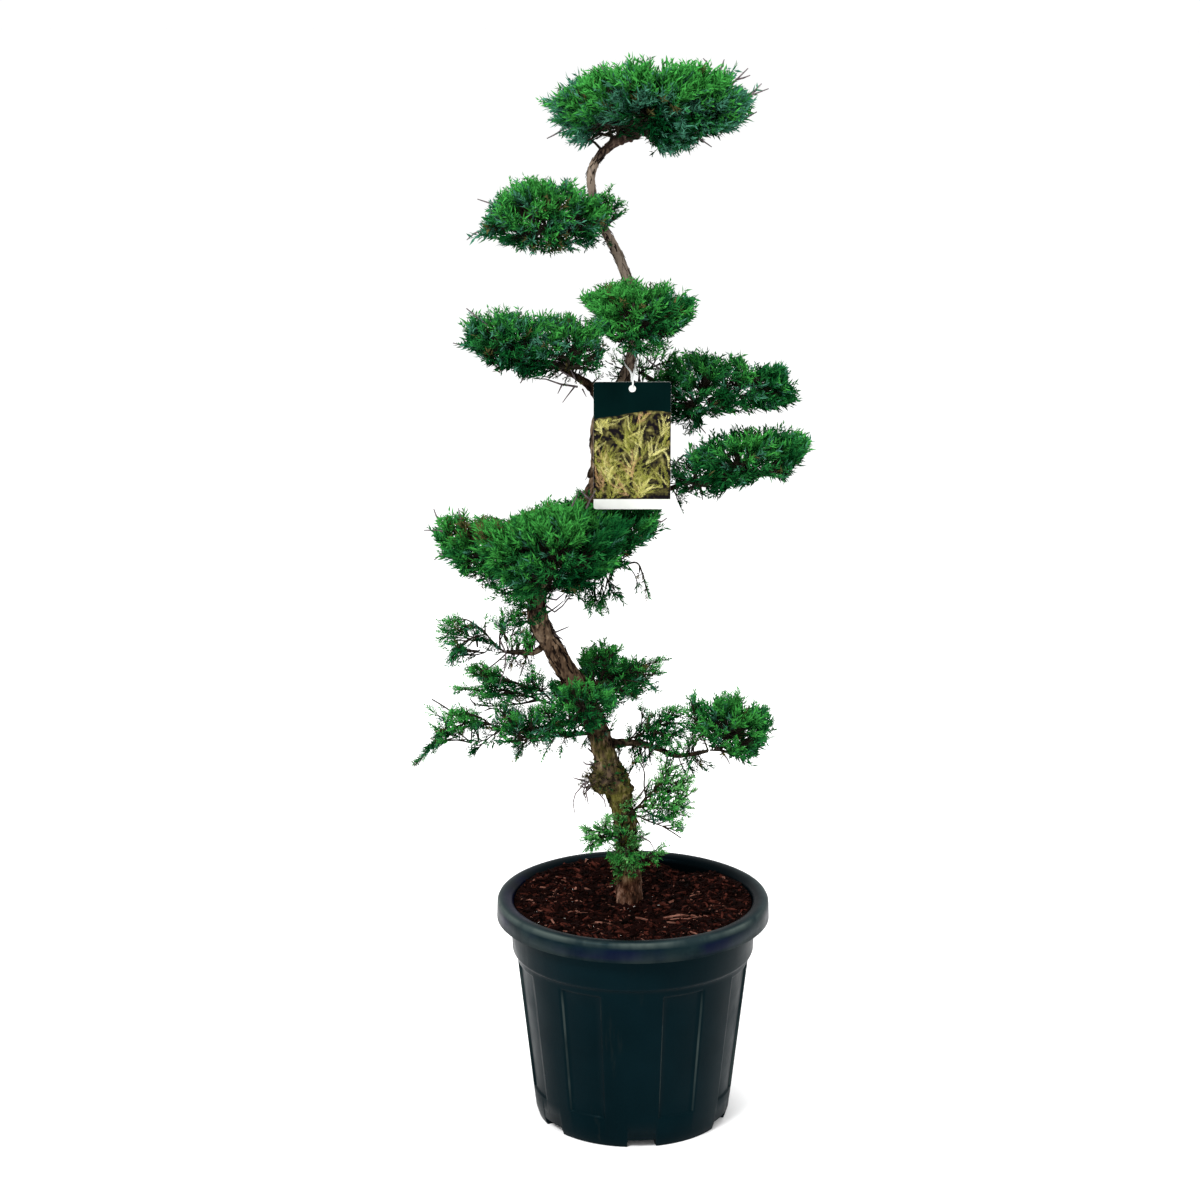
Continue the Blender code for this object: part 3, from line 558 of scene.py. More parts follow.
def makeSoil():
    points, faces = [], []
    rings, columns = soilPlan["rings"], soilPlan["columns"]
    reach = soilPlan["top"][-1][0]
    for ring in range(1, rings + 1):
        radius = reach * ring / rings
        for column in range(columns):
            turn = 2.0 * math.pi * column / columns
            x, y = radius * math.cos(turn), radius * math.sin(turn)
            points.append((x, y, soilHeight(x, y)))
    for radius, z in soilPlan["wall"]:
        for column in range(columns):
            turn = 2.0 * math.pi * column / columns
            points.append((radius * math.cos(turn), radius * math.sin(turn), z))
    for ring in range(rings + len(soilPlan["wall"]) - 1):
        for column in range(columns):
            after = (column + 1) % columns
            a, b = ring * columns + column, ring * columns + after
            faces.append((a, a + columns, b + columns, b))
    top, floor = len(points), len(points) + 1
    points += [(0.0, 0.0, soilHeight(0.0, 0.0)), (0.0, 0.0, soilPlan["wall"][-1][1])]
    last = (rings + len(soilPlan["wall"]) - 1) * columns
    for column in range(columns):
        after = (column + 1) % columns
        faces.append((top, column, after))
        faces.append((last + after, last + column, floor))
    soil = addMesh("soilBed", points, faces, soilFinish())
    outward(soil.data)
    settle(soil, "bark_soil", "soil")


makeSoil()


# scattering, shared by chips, bark flakes, leaves and the tag's print
def shapeStore(name, meshes):
    # a hidden collection of shapes, picked by their order
    store = bpy.data.collections.new(name)
    for index, mesh in enumerate(meshes):
        linkTo(store, f"{name}{index:02d}", mesh)
    return store


def scatterTree():
    tree = bpy.data.node_groups.new("scatter", "GeometryNodeTree")
    for label, kind in (("Geometry", "Geometry"), ("Shapes", "Collection"),
                        ("Overall Size", "Float"), ("Finish", "Material")):
        tree.interface.new_socket(label, in_out="INPUT", socket_type="NodeSocket" + kind)
    tree.interface.new_socket("Geometry", in_out="OUTPUT", socket_type="NodeSocketGeometry")
    nodes = tree.nodes
    given, result = nodes.new("NodeGroupInput"), nodes.new("NodeGroupOutput")
    shapes = nodes.new("GeometryNodeCollectionInfo")
    shapes.inputs["Separate Children"].default_value = True
    shapes.inputs["Reset Children"].default_value = True
    place = nodes.new("GeometryNodeInstanceOnPoints")
    place.inputs["Pick Instance"].default_value = True
    grow = nodes.new("ShaderNodeVectorMath")
    grow.operation = "SCALE"
    real, dress = nodes.new("GeometryNodeRealizeInstances"), nodes.new("GeometryNodeSetMaterial")
    for label, kind, target in (("turn", "FLOAT_VECTOR", place.inputs["Rotation"]),
                                ("size", "FLOAT_VECTOR", grow.inputs[0]),
                                ("kind", "INT", place.inputs["Instance Index"])):
        read = nodes.new("GeometryNodeInputNamedAttribute")
        read.data_type = kind
        read.inputs["Name"].default_value = label
        tree.links.new(read.outputs["Attribute"], target)
    for source, output, target, entry in (
            (given, "Geometry", place, "Points"), (given, "Shapes", shapes, "Collection"),
            (given, "Overall Size", grow, "Scale"), (grow, "Vector", place, "Scale"),
            (shapes, "Instances", place, "Instance"), (place, "Instances", real, "Geometry"),
            (real, "Geometry", dress, "Geometry"), (given, "Finish", dress, "Material"),
            (dress, "Geometry", result, "Geometry")):
        tree.links.new(source.outputs[output], target.inputs[entry])
    return tree


scatter = scatterTree()


def setInput(modifier, label, value):
    for item in modifier.node_group.interface.items_tree:
        if item.item_type == "SOCKET" and item.in_out == "INPUT" and item.name == label:
            modifier[item.identifier] = value


def scattered(name, spots, store, finish, size=1.0):
    # spots are (place, turn as Euler, size as three numbers, which shape)
    mesh = bpy.data.meshes.new(name + "Spots")
    mesh.from_pydata([tuple(spot[0]) for spot in spots], [], [])
    for label, part in (("turn", 1), ("size", 2)):
        flat = [number for spot in spots for number in spot[part]]
        mesh.attributes.new(label, "FLOAT_VECTOR", "POINT").data.foreach_set("vector", flat)
    mesh.attributes.new("kind", "INT", "POINT").data.foreach_set("value", [spot[3] for spot in spots])
    holder = linkTo(scene.collection, name + "Spots", mesh)
    modifier = holder.modifiers.new("scatter", "NODES")
    modifier.node_group = scatter
    setInput(modifier, "Shapes", store)
    setInput(modifier, "Overall Size", size)
    setInput(modifier, "Finish", finish)
    return asPlainMesh(holder, name)


def slab(width, depth, cuts):
    # a box one unit long, cut across
    bm = bmesh.new()
    bmesh.ops.create_cube(bm, size=1.0, matrix=Matrix.Diagonal((1.0, width, depth, 1.0)))
    lengthwise = [edge for edge in bm.edges if abs(edge.verts[0].co.x - edge.verts[1].co.x) > 0.5]
    bmesh.ops.subdivide_edges(bm, edges=lengthwise, cuts=cuts)
    return bm


def chipShapes():
    # flat broken pieces of bark, one unit long
    chance = random.Random(31)
    shapes = []
    for index in range(soilPlan["chipKinds"]):
        bm = slab(chance.uniform(0.25, 0.55), chance.uniform(0.12, 0.24), 1)
        for vertex in bm.verts:
            vertex.co.x += chance.uniform(-0.14, 0.14)
            vertex.co.y *= chance.uniform(0.55, 1.25)
            vertex.co.z = vertex.co.z * chance.uniform(0.6, 1.3) + 0.1 * (1.0 - abs(vertex.co.x) * 2.0)
        shapes.append(meshFrom(bm, "chip"))
    return shapeStore("chipShape", shapes)


def makeChips():
    chance = random.Random(77)
    store = chipShapes()
    pitch, roll = soilPlan["chipTilt"]
    for name, (count, small, large, *stops) in soilPlan["chips"].items():
        made = Finish(name + "Finish", 0.9, 0.025)
        made.colour(made.ramp(made.noise(70.0, 4.0, 0.6), stops))
        made.bump(made.noise(500.0, 3.0), 0.0005, 0.8)
        spots = []
        for index in range(count):
            radius = soilPlan["chipReach"] * math.sqrt(chance.random())
            turn = chance.uniform(0.0, 2.0 * math.pi)
            x, y = radius * math.cos(turn), radius * math.sin(turn)
            length = small + (large - small) * chance.random() ** 2
            length = min(length, 0.002 + 2.0 * (soilPlan["chipEdge"] - radius))
            lie = Euler((chance.gauss(0, pitch), chance.gauss(0, roll), chance.uniform(*anyTurn)))
            place = (x, y, soilHeight(x, y) + chance.uniform(*soilPlan["chipLift"]))
            wide = chance.uniform(*soilPlan["chipWidth"])
            kind = chance.randrange(soilPlan["chipKinds"])
            spots.append((place, lie, (length, length * wide, length), kind))
        if name == "paleChips":
            for x, y, turn, length in soilPlan["slivers"]:
                lie = Euler((0.1, 0.0, math.radians(turn)))
                place = (x, y, soilHeight(x, y) + 0.002)
                spots.append((place, lie, (length, length * 0.32, length * 0.4), 2))
        settle(scattered(name, spots, store, made.material), "bark_soil")


makeChips()
print("soil bedded and strewn")


# trunk and boughs
trunkPlan = {
    "line": [(-0.005, 0.015, 0.28, 0.017), (-0.006, 0.015, 0.33, 0.016), (-0.01, 0.012, 0.39, 0.0158),
             (-0.0155, 0.011, 0.43, 0.0158), (-0.031, 0.008, 0.478, 0.0163), (-0.058, 0.0, 0.56, 0.0152),
             (-0.103, -0.008, 0.643, 0.0142), (-0.126, -0.01, 0.704, 0.0128),
             (-0.102, -0.004, 0.778, 0.0118), (-0.049, 0.008, 0.86, 0.0108), (-0.046, 0.015, 0.938, 0.0098),
             (-0.013, 0.014, 0.996, 0.008), (0.003, 0.006, 1.071, 0.0073),
             (-0.016, -0.002, 1.142, 0.0069), (-0.046, -0.006, 1.204, 0.0063),
             (-0.054, -0.005, 1.258, 0.0058), (-0.028, 0.0, 1.292, 0.0056), (0.004, 0.003, 1.306, 0.0048)],
    "steps": 28,
    "columns": 44,
    "foot": 0.287,
    "flare": (0.14, 0.02, 5, 0.45),  # amount, height, lobes, depth of the lobes
    # depth of the bark's cracks, grain and lumps, as shares of the radius
    "ridges": 0.15,
    "flakes": 0.075,
    "lumps": 0.09,
    "knots": 64,
    "knotReach": (0.2, 0.4),
    "knotGrowth": (0.1, 0.26),
    # swellings: place, reach, outward growth in metres
    "burls": [((-0.044, -0.004, 0.46), 0.013, 0.019), ((-0.042, -0.004, 0.474), 0.014, 0.008),
              ((-0.006, -0.002, 0.455), 0.014, 0.006), ((-0.028, 0.022, 0.46), 0.022, 0.006),
              ((-0.016, -0.006, 1.303), 0.014, 0.0045), ((0.0, -0.002, 1.308), 0.012, 0.0035),
              ((-0.122, -0.024, 0.69), 0.016, 0.003), ((-0.006, 0.0, 0.31), 0.02, 0.002)],
}
# the radius at the trunk and at the end, and the line
boughPlan = {
    "upper_left": (0.004, 0.003, [(-0.04, -0.005, 1.192), (-0.069, -0.01, 1.188), (-0.091, -0.012, 1.196)]),
    "mid_left": (0.0078, 0.004, [
        (-0.038, 0.016, 0.965), (-0.058, 0.006, 0.988), (-0.078, -0.006, 1.003), (-0.1, -0.012, 1.015)]),
    "mid_right": (0.0048, 0.0034, [(-0.015, 0.014, 0.992), (0.018, 0.022, 0.981), (0.046, 0.028, 0.98)]),
    "lower_right": (0.006, 0.004, [
        (-0.057, 0.008, 0.875), (-0.005, 0.018, 0.855), (0.04, 0.014, 0.851), (0.066, 0.012, 0.862)]),
    "big_left": (0.0062, 0.0045, [(-0.126, -0.01, 0.706), (-0.15, -0.008, 0.729), (-0.172, -0.01, 0.75)]),
    "big_right": (0.0058, 0.004, [
        (-0.121, -0.008, 0.742), (-0.076, -0.004, 0.74), (-0.041, -0.004, 0.757)]),
    "small_left": (0.0046, 0.003, [
        (-0.106, -0.008, 0.656), (-0.134, -0.012, 0.64), (-0.165, -0.014, 0.643)]),
    "long_left": (0.0056, 0.0034, [(-0.052, 0.0, 0.556), (-0.096, -0.01, 0.543), (-0.148, -0.022, 0.536)]),
    "small_right": (0.0048, 0.0034, [
        (-0.083, -0.006, 0.616), (-0.054, 0.012, 0.594), (-0.03, 0.02, 0.592)]),
    "right": (0.0056, 0.0036, [
        (-0.036, 0.005, 0.511), (0.008, 0.002, 0.514), (0.056, 0.0, 0.498), (0.084, 0.0, 0.501)]),
}
boughShape = {
    "columns": 16,
    "steps": 16,
    "collar": (0.55, 0.02),  # how much thicker at the trunk, and over what length
    "wander": 0.0012,
    "thinning": 0.2,
}


def boughLine(name, steps=2):
    thick, thin, points = boughPlan[name]
    share = [index / (len(points) - 1) for index in range(len(points))]
    return blendLine([(*p, thick + (thin - thick) * s) for p, s in zip(points, share)], steps)


def ringFrames(line):
    # for each point its centre, two directions across the limb, and its radius, with no sudden twist
    frames = []
    across = Vector((1.0, 0.0, 0.0))
    for index, (x, y, z, radius) in enumerate(line):
        before, after = line[max(0, index - 1)], line[min(len(line) - 1, index + 1)]
        along = (Vector(after[:3]) - Vector(before[:3])).normalized()
        across = (across - along * across.dot(along)).normalized()
        frames.append((Vector((x, y, z)), across.copy(), along.cross(across), radius))
    return frames


def limbMesh(line, columns, relief, seed):
    # a closed tube along the line; relief(point, outward, radius, seed) is added to its radius
    points, faces, depths = [], [], []
    frames = ringFrames(line)
    for centre, across, up, radius in frames:
        for column in range(columns):
            turn = 2.0 * math.pi * column / columns
            out = across * math.cos(turn) + up * math.sin(turn)
            spot = centre + out * radius
            points.append(spot + out * relief(spot, out, radius, seed))
            depths.append(0.85 + barkRelief(spot, out, radius, seed) / radius / 0.3)
    for ring in range(len(frames) - 1):
        for column in range(columns):
            after = (column + 1) % columns
            a, b = ring * columns + column, ring * columns + after
            faces.append((a, b, b + columns, a + columns))
    start, stop = len(points), len(points) + 1
    points += [frames[0][0], frames[-1][0]]
    depths += [0.5, 0.5]
    last = (len(frames) - 1) * columns
    for column in range(columns):
        after = (column + 1) % columns
        faces.append((start, after, column))
        faces.append((stop, last + column, last + after))
    return points, faces, depths


def addLimbs(name, points, faces, depths, finish):
    limb = addMesh(name, points, faces, finish)
    attach(limb, "relief", depths)
    outward(limb.data)
    return limb


def barkRelief(spot, out, radius, seed):
    # long plates with cracks between them, broken across now and then
    shifted = Vector((spot.x * 150.0, spot.y * 150.0, spot.z * 26.0)) + Vector((seed, seed, seed)) * 7.3
    plates = abs(noise.noise(shifted))
    fine = noise.noise(Vector((spot.x, spot.y, spot.z * 0.45)) * 420.0 + Vector((seed, 0, 0)))
    lumps = noise.noise(spot * 46.0 + Vector((0, seed, 0)))
    crack = smoothStep(0.0, 0.16, plates)
    return radius * (trunkPlan["ridges"] * (crack - 1.0) + trunkPlan["flakes"] * (fine - 0.4)
                     + trunkPlan["lumps"] * (lumps - 0.5))


def makeTrunk():
    line = blendLine(trunkPlan["line"], trunkPlan["steps"])
    amount, height, lobeCount, lobeDepth = trunkPlan["flare"]
    chance = random.Random(5)
    knots = []
    for index in range(trunkPlan["knots"]):
        x, y, z, radius = line[chance.randrange(30, len(line) - 12)]
        turn = chance.uniform(0.0, 2.0 * math.pi)
        spot = Vector((x + radius * math.cos(turn), y + radius * math.sin(turn), z))
        reach = radius * chance.uniform(*trunkPlan["knotReach"])
        knots.append((spot, reach, radius * chance.uniform(*trunkPlan["knotGrowth"])))

    def relief(spot, out, radius, seed):
        extra = barkRelief(spot, out, radius, seed)
        for place, reach, growth in trunkPlan["burls"]:
            near = (spot - Vector(place)).length / reach
            if near < 2.2:
                knobbly = 1.0 + 1.1 * noise.noise(spot * 190.0)
                extra += growth * knobbly * math.exp(-near * near)
        for place, reach, growth in knots:
            near = (spot - place).length / reach
            if near < 2.0:
                extra += growth * math.exp(-near * near)
        lobes = 1.0 + lobeDepth * math.cos(lobeCount * math.atan2(out.y, out.x))
        return extra + radius * amount * lobes * math.exp(-max(0.0, spot.z - 0.29) / height)

    line = [row for row in line if row[2] > trunkPlan["foot"]]
    return limbMesh(line, trunkPlan["columns"], relief, 1.0)


def makeBoughs():
    points, faces, depths = [], [], []
    growth, reach = boughShape["collar"]
    for index, name in enumerate(boughPlan):
        line = boughLine(name, boughShape["steps"])
        length = sum((Vector(a[:3]) - Vector(b[:3])).length for a, b in zip(line, line[1:]))
        grown, passed = [], 0.0
        for number, (x, y, z, radius) in enumerate(line):
            if number:
                passed += (Vector((x, y, z)) - Vector(line[number - 1][:3])).length
            collar = 1.0 + growth * math.exp(-((passed / reach) ** 2))
            shift = boughShape["wander"] * noise.noise(Vector((passed * 60.0, index * 3.0, 0.0)))
            radius = radius * collar * (1.0 - boughShape["thinning"] * passed / length)
            grown.append((x, y + shift, z + shift, radius))
        somePoints, someFaces, someDepths = limbMesh(grown, boughShape["columns"], barkRelief, index + 2.0)
        faces += [tuple(number + len(points) for number in face) for face in someFaces]
        points += somePoints
        depths += someDepths
    return points, faces, depths


trunkFinish = barkFinish("trunkBark", True)
boughFinish = barkFinish("boughBark", False, 0.38)
trunk = addLimbs("trunkBark", *makeTrunk(), trunkFinish)
boughs = addLimbs("boughBark", *makeBoughs(), boughFinish)


def treeOf(things):
    points, faces = [], []
    for thing in things:
        start = len(points)
        points += [vertex.co.copy() for vertex in thing.data.vertices]
        faces += [[start + index for index in polygon.vertices] for polygon in thing.data.polygons]
    return BVHTree.FromPolygons(points, faces)


limbSurface = treeOf([trunk, boughs])
settle(trunk, "bark", "trunk")
settle(boughs, "bark", *["bough_" + name for name in boughPlan])


flakePlan = {
    "kinds": 5,
    "count": 900,
    "from": 0.292,
    "length": (0.006, 0.017),
    "thickTrunk": 0.016,  # at this radius and above every flake stays
}


def makeFlakes():
    # narrow strips of bark that lift off the trunk
    chance = random.Random(19)
    shapes = []
    for index in range(flakePlan["kinds"]):
        bm = slab(0.16, 0.035, 2)
        lift = chance.uniform(0.05, 0.16)
        for vertex in bm.verts:
            x, y, z = vertex.co
            vertex.co.z += lift * (x + 0.5) ** 2 - 0.02
            vertex.co.y = y * (1.0 - 0.5 * abs(x)) + 0.05 * math.sin(4.0 * x + index)
        shapes.append(meshFrom(bm, "flake"))
    store = shapeStore("flakeShape", shapes)
    line = [row for row in blendLine(trunkPlan["line"], 12) if row[2] > flakePlan["from"]]
    frames = ringFrames(line)
    spots = []
    while len(spots) < flakePlan["count"]:
        index = chance.randrange(1, len(frames) - 8)
        centre, across, up, radius = frames[index]
        turn = chance.uniform(0.0, 2.0 * math.pi)
        out = across * math.cos(turn) + up * math.sin(turn)
        spot, normal, _, _ = limbSurface.find_nearest(centre + out * radius * 1.1)
        if spot is None or chance.random() > radius / flakePlan["thickTrunk"]:
            continue
        along = (frames[index + 1][0] - centre).normalized()
        side = normal.cross(along).normalized()
        ahead = side.cross(normal) * chance.choice((-1.0, 1.0))
        ahead = (ahead + side * chance.gauss(0, 0.12)).normalized()
        basis = Matrix((ahead, normal.cross(ahead), normal)).transposed()
        length = chance.uniform(*flakePlan["length"]) * (0.5 + radius / 0.03)
        kind = chance.randrange(flakePlan["kinds"])
        spots.append((spot + normal * 0.0002, basis.to_euler(), (length, length, length), kind))
    settle(scattered("barkFlakes", spots, store, trunkFinish), "bark")


makeFlakes()
print("trunk, boughs and bark grown")


# tag and its tie
tagPlan = {
    "size": (0.0975, 0.001, 0.1635),
    "topMiddle": Vector((-0.0031, -0.03, 0.9982)),
    "corner": 0.003,
    "hole": 0.0042,
    "holeDrop": 0.0085,
    "layer": 0.00006,
    "headEdge": [(0.0, 0.047), (0.25, 0.044), (0.5, 0.0395), (0.7, 0.0365), (0.85, 0.037), (1.0, 0.039)],
    "footStrip": 0.013,
    "margin": 0.00005,
    "fronds": 58,
    "stemsAFrond": 7,
    "leavesAStem": 16,
    "frondInks": ("sprigsPale", "sprigsPale", "sprigsGreen", "sprigsGreen", "sprigsWarm"),
    "strayInks": ("sprigsPale", "sprigsGreen", "sprigsDark"),
    "frondLength": 0.02,
    "leafStep": 0.0013,
    "leafLength": (0.0026, 0.0042),
}
tagInks = {
    # darker and lighter of each ink
    "head": [(0.3, (0.0001, 0.0036, 0.0033)), (0.7, (0.0003, 0.005, 0.0046))],
    "field": [(0.44, (0.005, 0.003, 0.004)), (0.58, (0.055, 0.048, 0.015)), (0.74, (0.2, 0.18, 0.06))],
    "sprigsPale": [(0.3, (0.38, 0.36, 0.085)), (0.7, (0.62, 0.58, 0.24))],
    "sprigsGreen": [(0.3, (0.15, 0.16, 0.025)), (0.7, (0.29, 0.28, 0.06))],
    "sprigsWarm": [(0.3, (0.24, 0.13, 0.05)), (0.7, (0.46, 0.3, 0.15))],
    "sprigsDark": [(0.3, (0.008, 0.006, 0.006)), (0.7, (0.036, 0.03, 0.012))],
}


def tagFinish(name, stops, grain=30.0):
    made = Finish(name, 0.38, 0.03, (0.3, 0.9, 1.0))
    made.colour(made.ramp(made.noise(grain, 2.0), stops))
    made.bump(made.noise(14.0, 1.0), 0.0004, 0.3)
    return made.material


def tagSpot(along, down, lift):
    # a place on the tag's front: along from its left edge, down from its top, both in metres
    corner = tagPlan["topMiddle"] - Vector((tagPlan["size"][0] / 2.0, 0.0, 0.0))
    return corner + Vector((along, -tagPlan["size"][1] / 2.0 - lift, -down))


def tagPanel(name, outline, finish, holes=()):
    # a printed field as a closed thin plate; outline and holes are loops of (along, down)
    loops = [outline, *holes]
    flat = [[Vector((a, d, 0.0)) for a, d in loop] for loop in loops]
    fronts = [tuple(face) for face in tessellate_polygon(flat)]
    front = [tagSpot(a, d, tagPlan["layer"]) for loop in loops for a, d in loop]
    back = [point + Vector((0.0, tagPlan["layer"] * 0.9, 0.0)) for point in front]
    count = len(front)
    faces = fronts + [tuple(count + number for number in reversed(face)) for face in fronts]
    first = 0
    for loop in loops:
        for index in range(len(loop)):
            here, after = first + index, first + (index + 1) % len(loop)
            faces.append((here, after, after + count, here + count))
        first += len(loop)
    panel = addMesh(name, front + back, faces, finish, False)
    outward(panel.data)
    settle(panel, "tag_card")


def makeTagCard():
    width, thickness, height = tagPlan["size"]
    bm = bmesh.new()
    bmesh.ops.create_cube(bm, size=1.0, matrix=Matrix.Diagonal((width, thickness, height, 1.0)))
    upright = [edge for edge in bm.edges if abs(edge.verts[0].co.y - edge.verts[1].co.y) > thickness / 2]
    bmesh.ops.bevel(bm, geom=upright, offset=tagPlan["corner"], segments=5, affect="EDGES", profile=0.5)
    bm.transform(Matrix.Translation(tagPlan["topMiddle"] - Vector((0.0, 0.0, height / 2.0))))
    mesh = meshFrom(bm, "tagCard")
    mesh.materials.append(tagFinish("tagWhite", [(0.3, (0.56, 0.57, 0.54)), (0.7, (0.62, 0.63, 0.6))]))
    settle(linkTo(scene.collection, "tagCard", mesh), "tag_card", "plant_tag")


def headEdgeAt(share):
    points = tagPlan["headEdge"]
    for (s0, d0), (s1, d1) in zip(points, points[1:]):
        if share <= s1:
            return d0 + (d1 - d0) * smoothStep(s0, s1, share)
    return points[-1][1]


def printedLeaf(name, outline):
    bm = bmesh.new()
    front = [bm.verts.new((x, y, 0.5)) for x, y in outline]
    back = [bm.verts.new((x, y, -0.5)) for x, y in outline]
    bm.faces.new(front[::-1])
    bm.faces.new(back)
    for index in range(len(outline)):
        after = (index + 1) % len(outline)
        bm.faces.new((front[index], back[index], back[after], front[after]))
    bmesh.ops.recalc_face_normals(bm, faces=bm.faces)
    return meshFrom(bm, name)


def makeTagPrint():
    # a dark head over a field of plain sprigs, and a bare foot
    width, _, height = tagPlan["size"]
    edge, corner, layer = tagPlan["margin"], tagPlan["corner"], tagPlan["layer"]
    arc = [(corner - (corner - edge) * math.cos(turn), corner - (corner - edge) * math.sin(turn))
           for turn in (math.radians(15.0 * step) for step in range(7))]
    top = arc + [(width - a, d) for a, d in reversed(arc)]
    curve = [(edge + index / 16 * (width - 2 * edge), headEdgeAt(index / 16)) for index in range(17)]
    ring = [(width / 2.0 + (tagPlan["hole"] + 0.0003) * math.cos(turn),
             tagPlan["holeDrop"] + (tagPlan["hole"] + 0.0003) * math.sin(turn))
            for turn in (2.0 * math.pi * step / 28 for step in range(28))]
    tagPanel("tagHead", top + curve[::-1], tagFinish("headInk", tagInks["head"]), [ring])
    foot = height - tagPlan["footStrip"]
    fieldInk = tagFinish("fieldInk", tagInks["field"], 130.0)
    tagPanel("tagField", curve + [(width - edge, foot), (edge, foot)], fieldInk)
    shapes = shapeStore("printShape", [
        printedLeaf("printedNeedle", [(0.0, -0.05), (0.0, 0.05), (0.5, 0.1), (1.0, 0.0), (0.5, -0.1)]),
        printedLeaf("printedScale", [(0.0, -0.05), (0.0, 0.05), (0.45, 0.13), (1.0, 0.0), (0.45, -0.13)])])
    chance = random.Random(64)
    leaves = {name: [] for name in ("sprigsPale", "sprigsGreen", "sprigsWarm", "sprigsDark")}
    low = headEdgeAt(0.5) + 0.004
    stems, frondLength, leafStep = tagPlan["stemsAFrond"], tagPlan["frondLength"], tagPlan["leafStep"]
    for number in range(tagPlan["fronds"] * stems):
        if number % stems == 0:
            rootA = chance.uniform(-0.006, width)
            rootD = low + (foot + 0.01 - low) * chance.random() ** 1.05
            frondInk = chance.choice(tagPlan["frondInks"])
            frondWay = math.radians(90.0 + chance.gauss(0.0, 38.0))
        ink = frondInk if chance.random() < 0.75 else chance.choice(tagPlan["strayInks"])
        share = (number % stems) / stems
        a = rootA + frondLength * share * math.cos(frondWay)
        d = rootD - frondLength * share * math.sin(frondWay)
        aside = 0.0 if share == 0.0 else 0.55 * (-1.0 if number % 2 else 1.0) * chance.uniform(0.6, 1.3)
        heading = frondWay + aside
        bend = chance.uniform(-0.04, 0.04)
        for index in range(tagPlan["leavesAStem"]):
            a, d = a + leafStep * math.cos(heading), d - leafStep * math.sin(heading)
            heading += bend
            turn = heading + (1.0 if index % 2 else -1.0) * chance.uniform(0.35, 0.7)
            length = chance.uniform(*tagPlan["leafLength"]) * (1.0 - 0.45 * index / tagPlan["leavesAStem"])
            ends = ((a, d), (a + length * math.cos(turn), d - length * math.sin(turn)))
            if all(0.001 < x < width - 0.001 and headEdgeAt(x / width) + 0.001 < y < foot - 0.0008
                   for x, y in ends):
                lift = layer * (1.6 + 0.03 * number + 0.2 * chance.random())
                flatOn = Euler((math.pi / 2.0, -turn, 0.0))
                leaves[ink].append((tagSpot(a, d, lift), flatOn, (length, length, layer), index % 2))
    for ink, spots in leaves.items():
        settle(scattered(ink, spots, shapes, tagFinish(ink + "Ink", tagInks[ink], 60.0)), "tag_card")


def trunkCentre(height):
    line = blendLine(trunkPlan["line"], 2)
    for low, high in zip(line, line[1:]):
        if low[2] <= height <= high[2]:
            return Vector(low[:3]).lerp(Vector(high[:3]), (height - low[2]) / (high[2] - low[2]))
    return Vector(line[-1][:3])


tiePlan = {
    "radius": 0.0011,
    "gap": 0.0003,
    "trunkHeight": 1.024,
    "trunkRadius": 0.0083,
    "dip": 0.004,
    "start": -25.0,
    "span": 230.0,
    "steps": 8,
    "meet": (-0.0016, 0.007, 1.0085),  # where it closes: across and back from the hole, and its height
    "meetWidth": 0.0034,
    # through the hole: across, share of the card's half and the tie's, further back, up
    "through": [(-0.0008, 1.0, 0.0016, 0.0065), (-0.0006, 1.0, 0.0, 0.0018), (-0.0002, 0.6, 0.0, 0.0),
                (0.0002, -0.6, 0.0, 0.0), (0.0006, -1.0, 0.0, 0.0018), (0.001, -1.0, 0.0002, 0.0085)],
}


def makeTie():
    # once round the trunk, down in front of it, through the tag's hole and back up behind the tag
    thick, gap = tiePlan["radius"], tiePlan["gap"]
    bight = tagPlan["topMiddle"] - Vector((0.0, 0.0, tagPlan["holeDrop"] - tagPlan["hole"] + thick + gap))
    card = tagPlan["size"][1] / 2.0 + thick + gap
    line = []
    for index in range(tiePlan["steps"] + 1):
        angle = math.radians(tiePlan["start"] + tiePlan["span"] * index / tiePlan["steps"])
        height = tiePlan["trunkHeight"] - tiePlan["dip"] * (1.0 - math.sin(angle))
        out = Vector((math.cos(angle), math.sin(angle), 0.0))
        line.append(trunkCentre(height) + out * (tiePlan["trunkRadius"] + thick + gap))
    across, back, height = tiePlan["meet"]
    meetLeft = Vector((bight.x + across, bight.y + back, height))
    meetRight = meetLeft + Vector((tiePlan["meetWidth"], 0.0, 0.0))
    line += [line[-1].lerp(meetLeft, 0.5), meetLeft]
    line += [bight + Vector((a, card * share + behind, up)) for a, share, behind, up in tiePlan["through"]]
    line += [meetRight, meetRight.lerp(line[0], 0.5)]
    curve = bpy.data.curves.new("tagTie", "CURVE")
    curve.dimensions = "3D"
    curve.bevel_depth = thick
    curve.bevel_resolution = 3
    spline = curve.splines.new("POLY")
    spline.use_cyclic_u = True
    smooth = blendLine([line[-1]] + line + [line[0], line[1]], 5)[5:-10]
    spline.points.add(len(smooth) - 1)
    for point, place in zip(spline.points, smooth):
        point.co = (*place, 1.0)
    curve.materials.append(tagFinish("tiePlastic", [(0.3, (0.52, 0.53, 0.52)), (0.7, (0.62, 0.63, 0.62))]))
    tie = asPlainMesh(linkTo(scene.collection, "tieCurve", curve), "tagTie")
    for polygon in tie.data.polygons:
        polygon.use_smooth = True
    settle(tie, "loop_plastic", "tag_loop")


makeTagCard()
makeTagPrint()
makeTie()
print("tag hung")


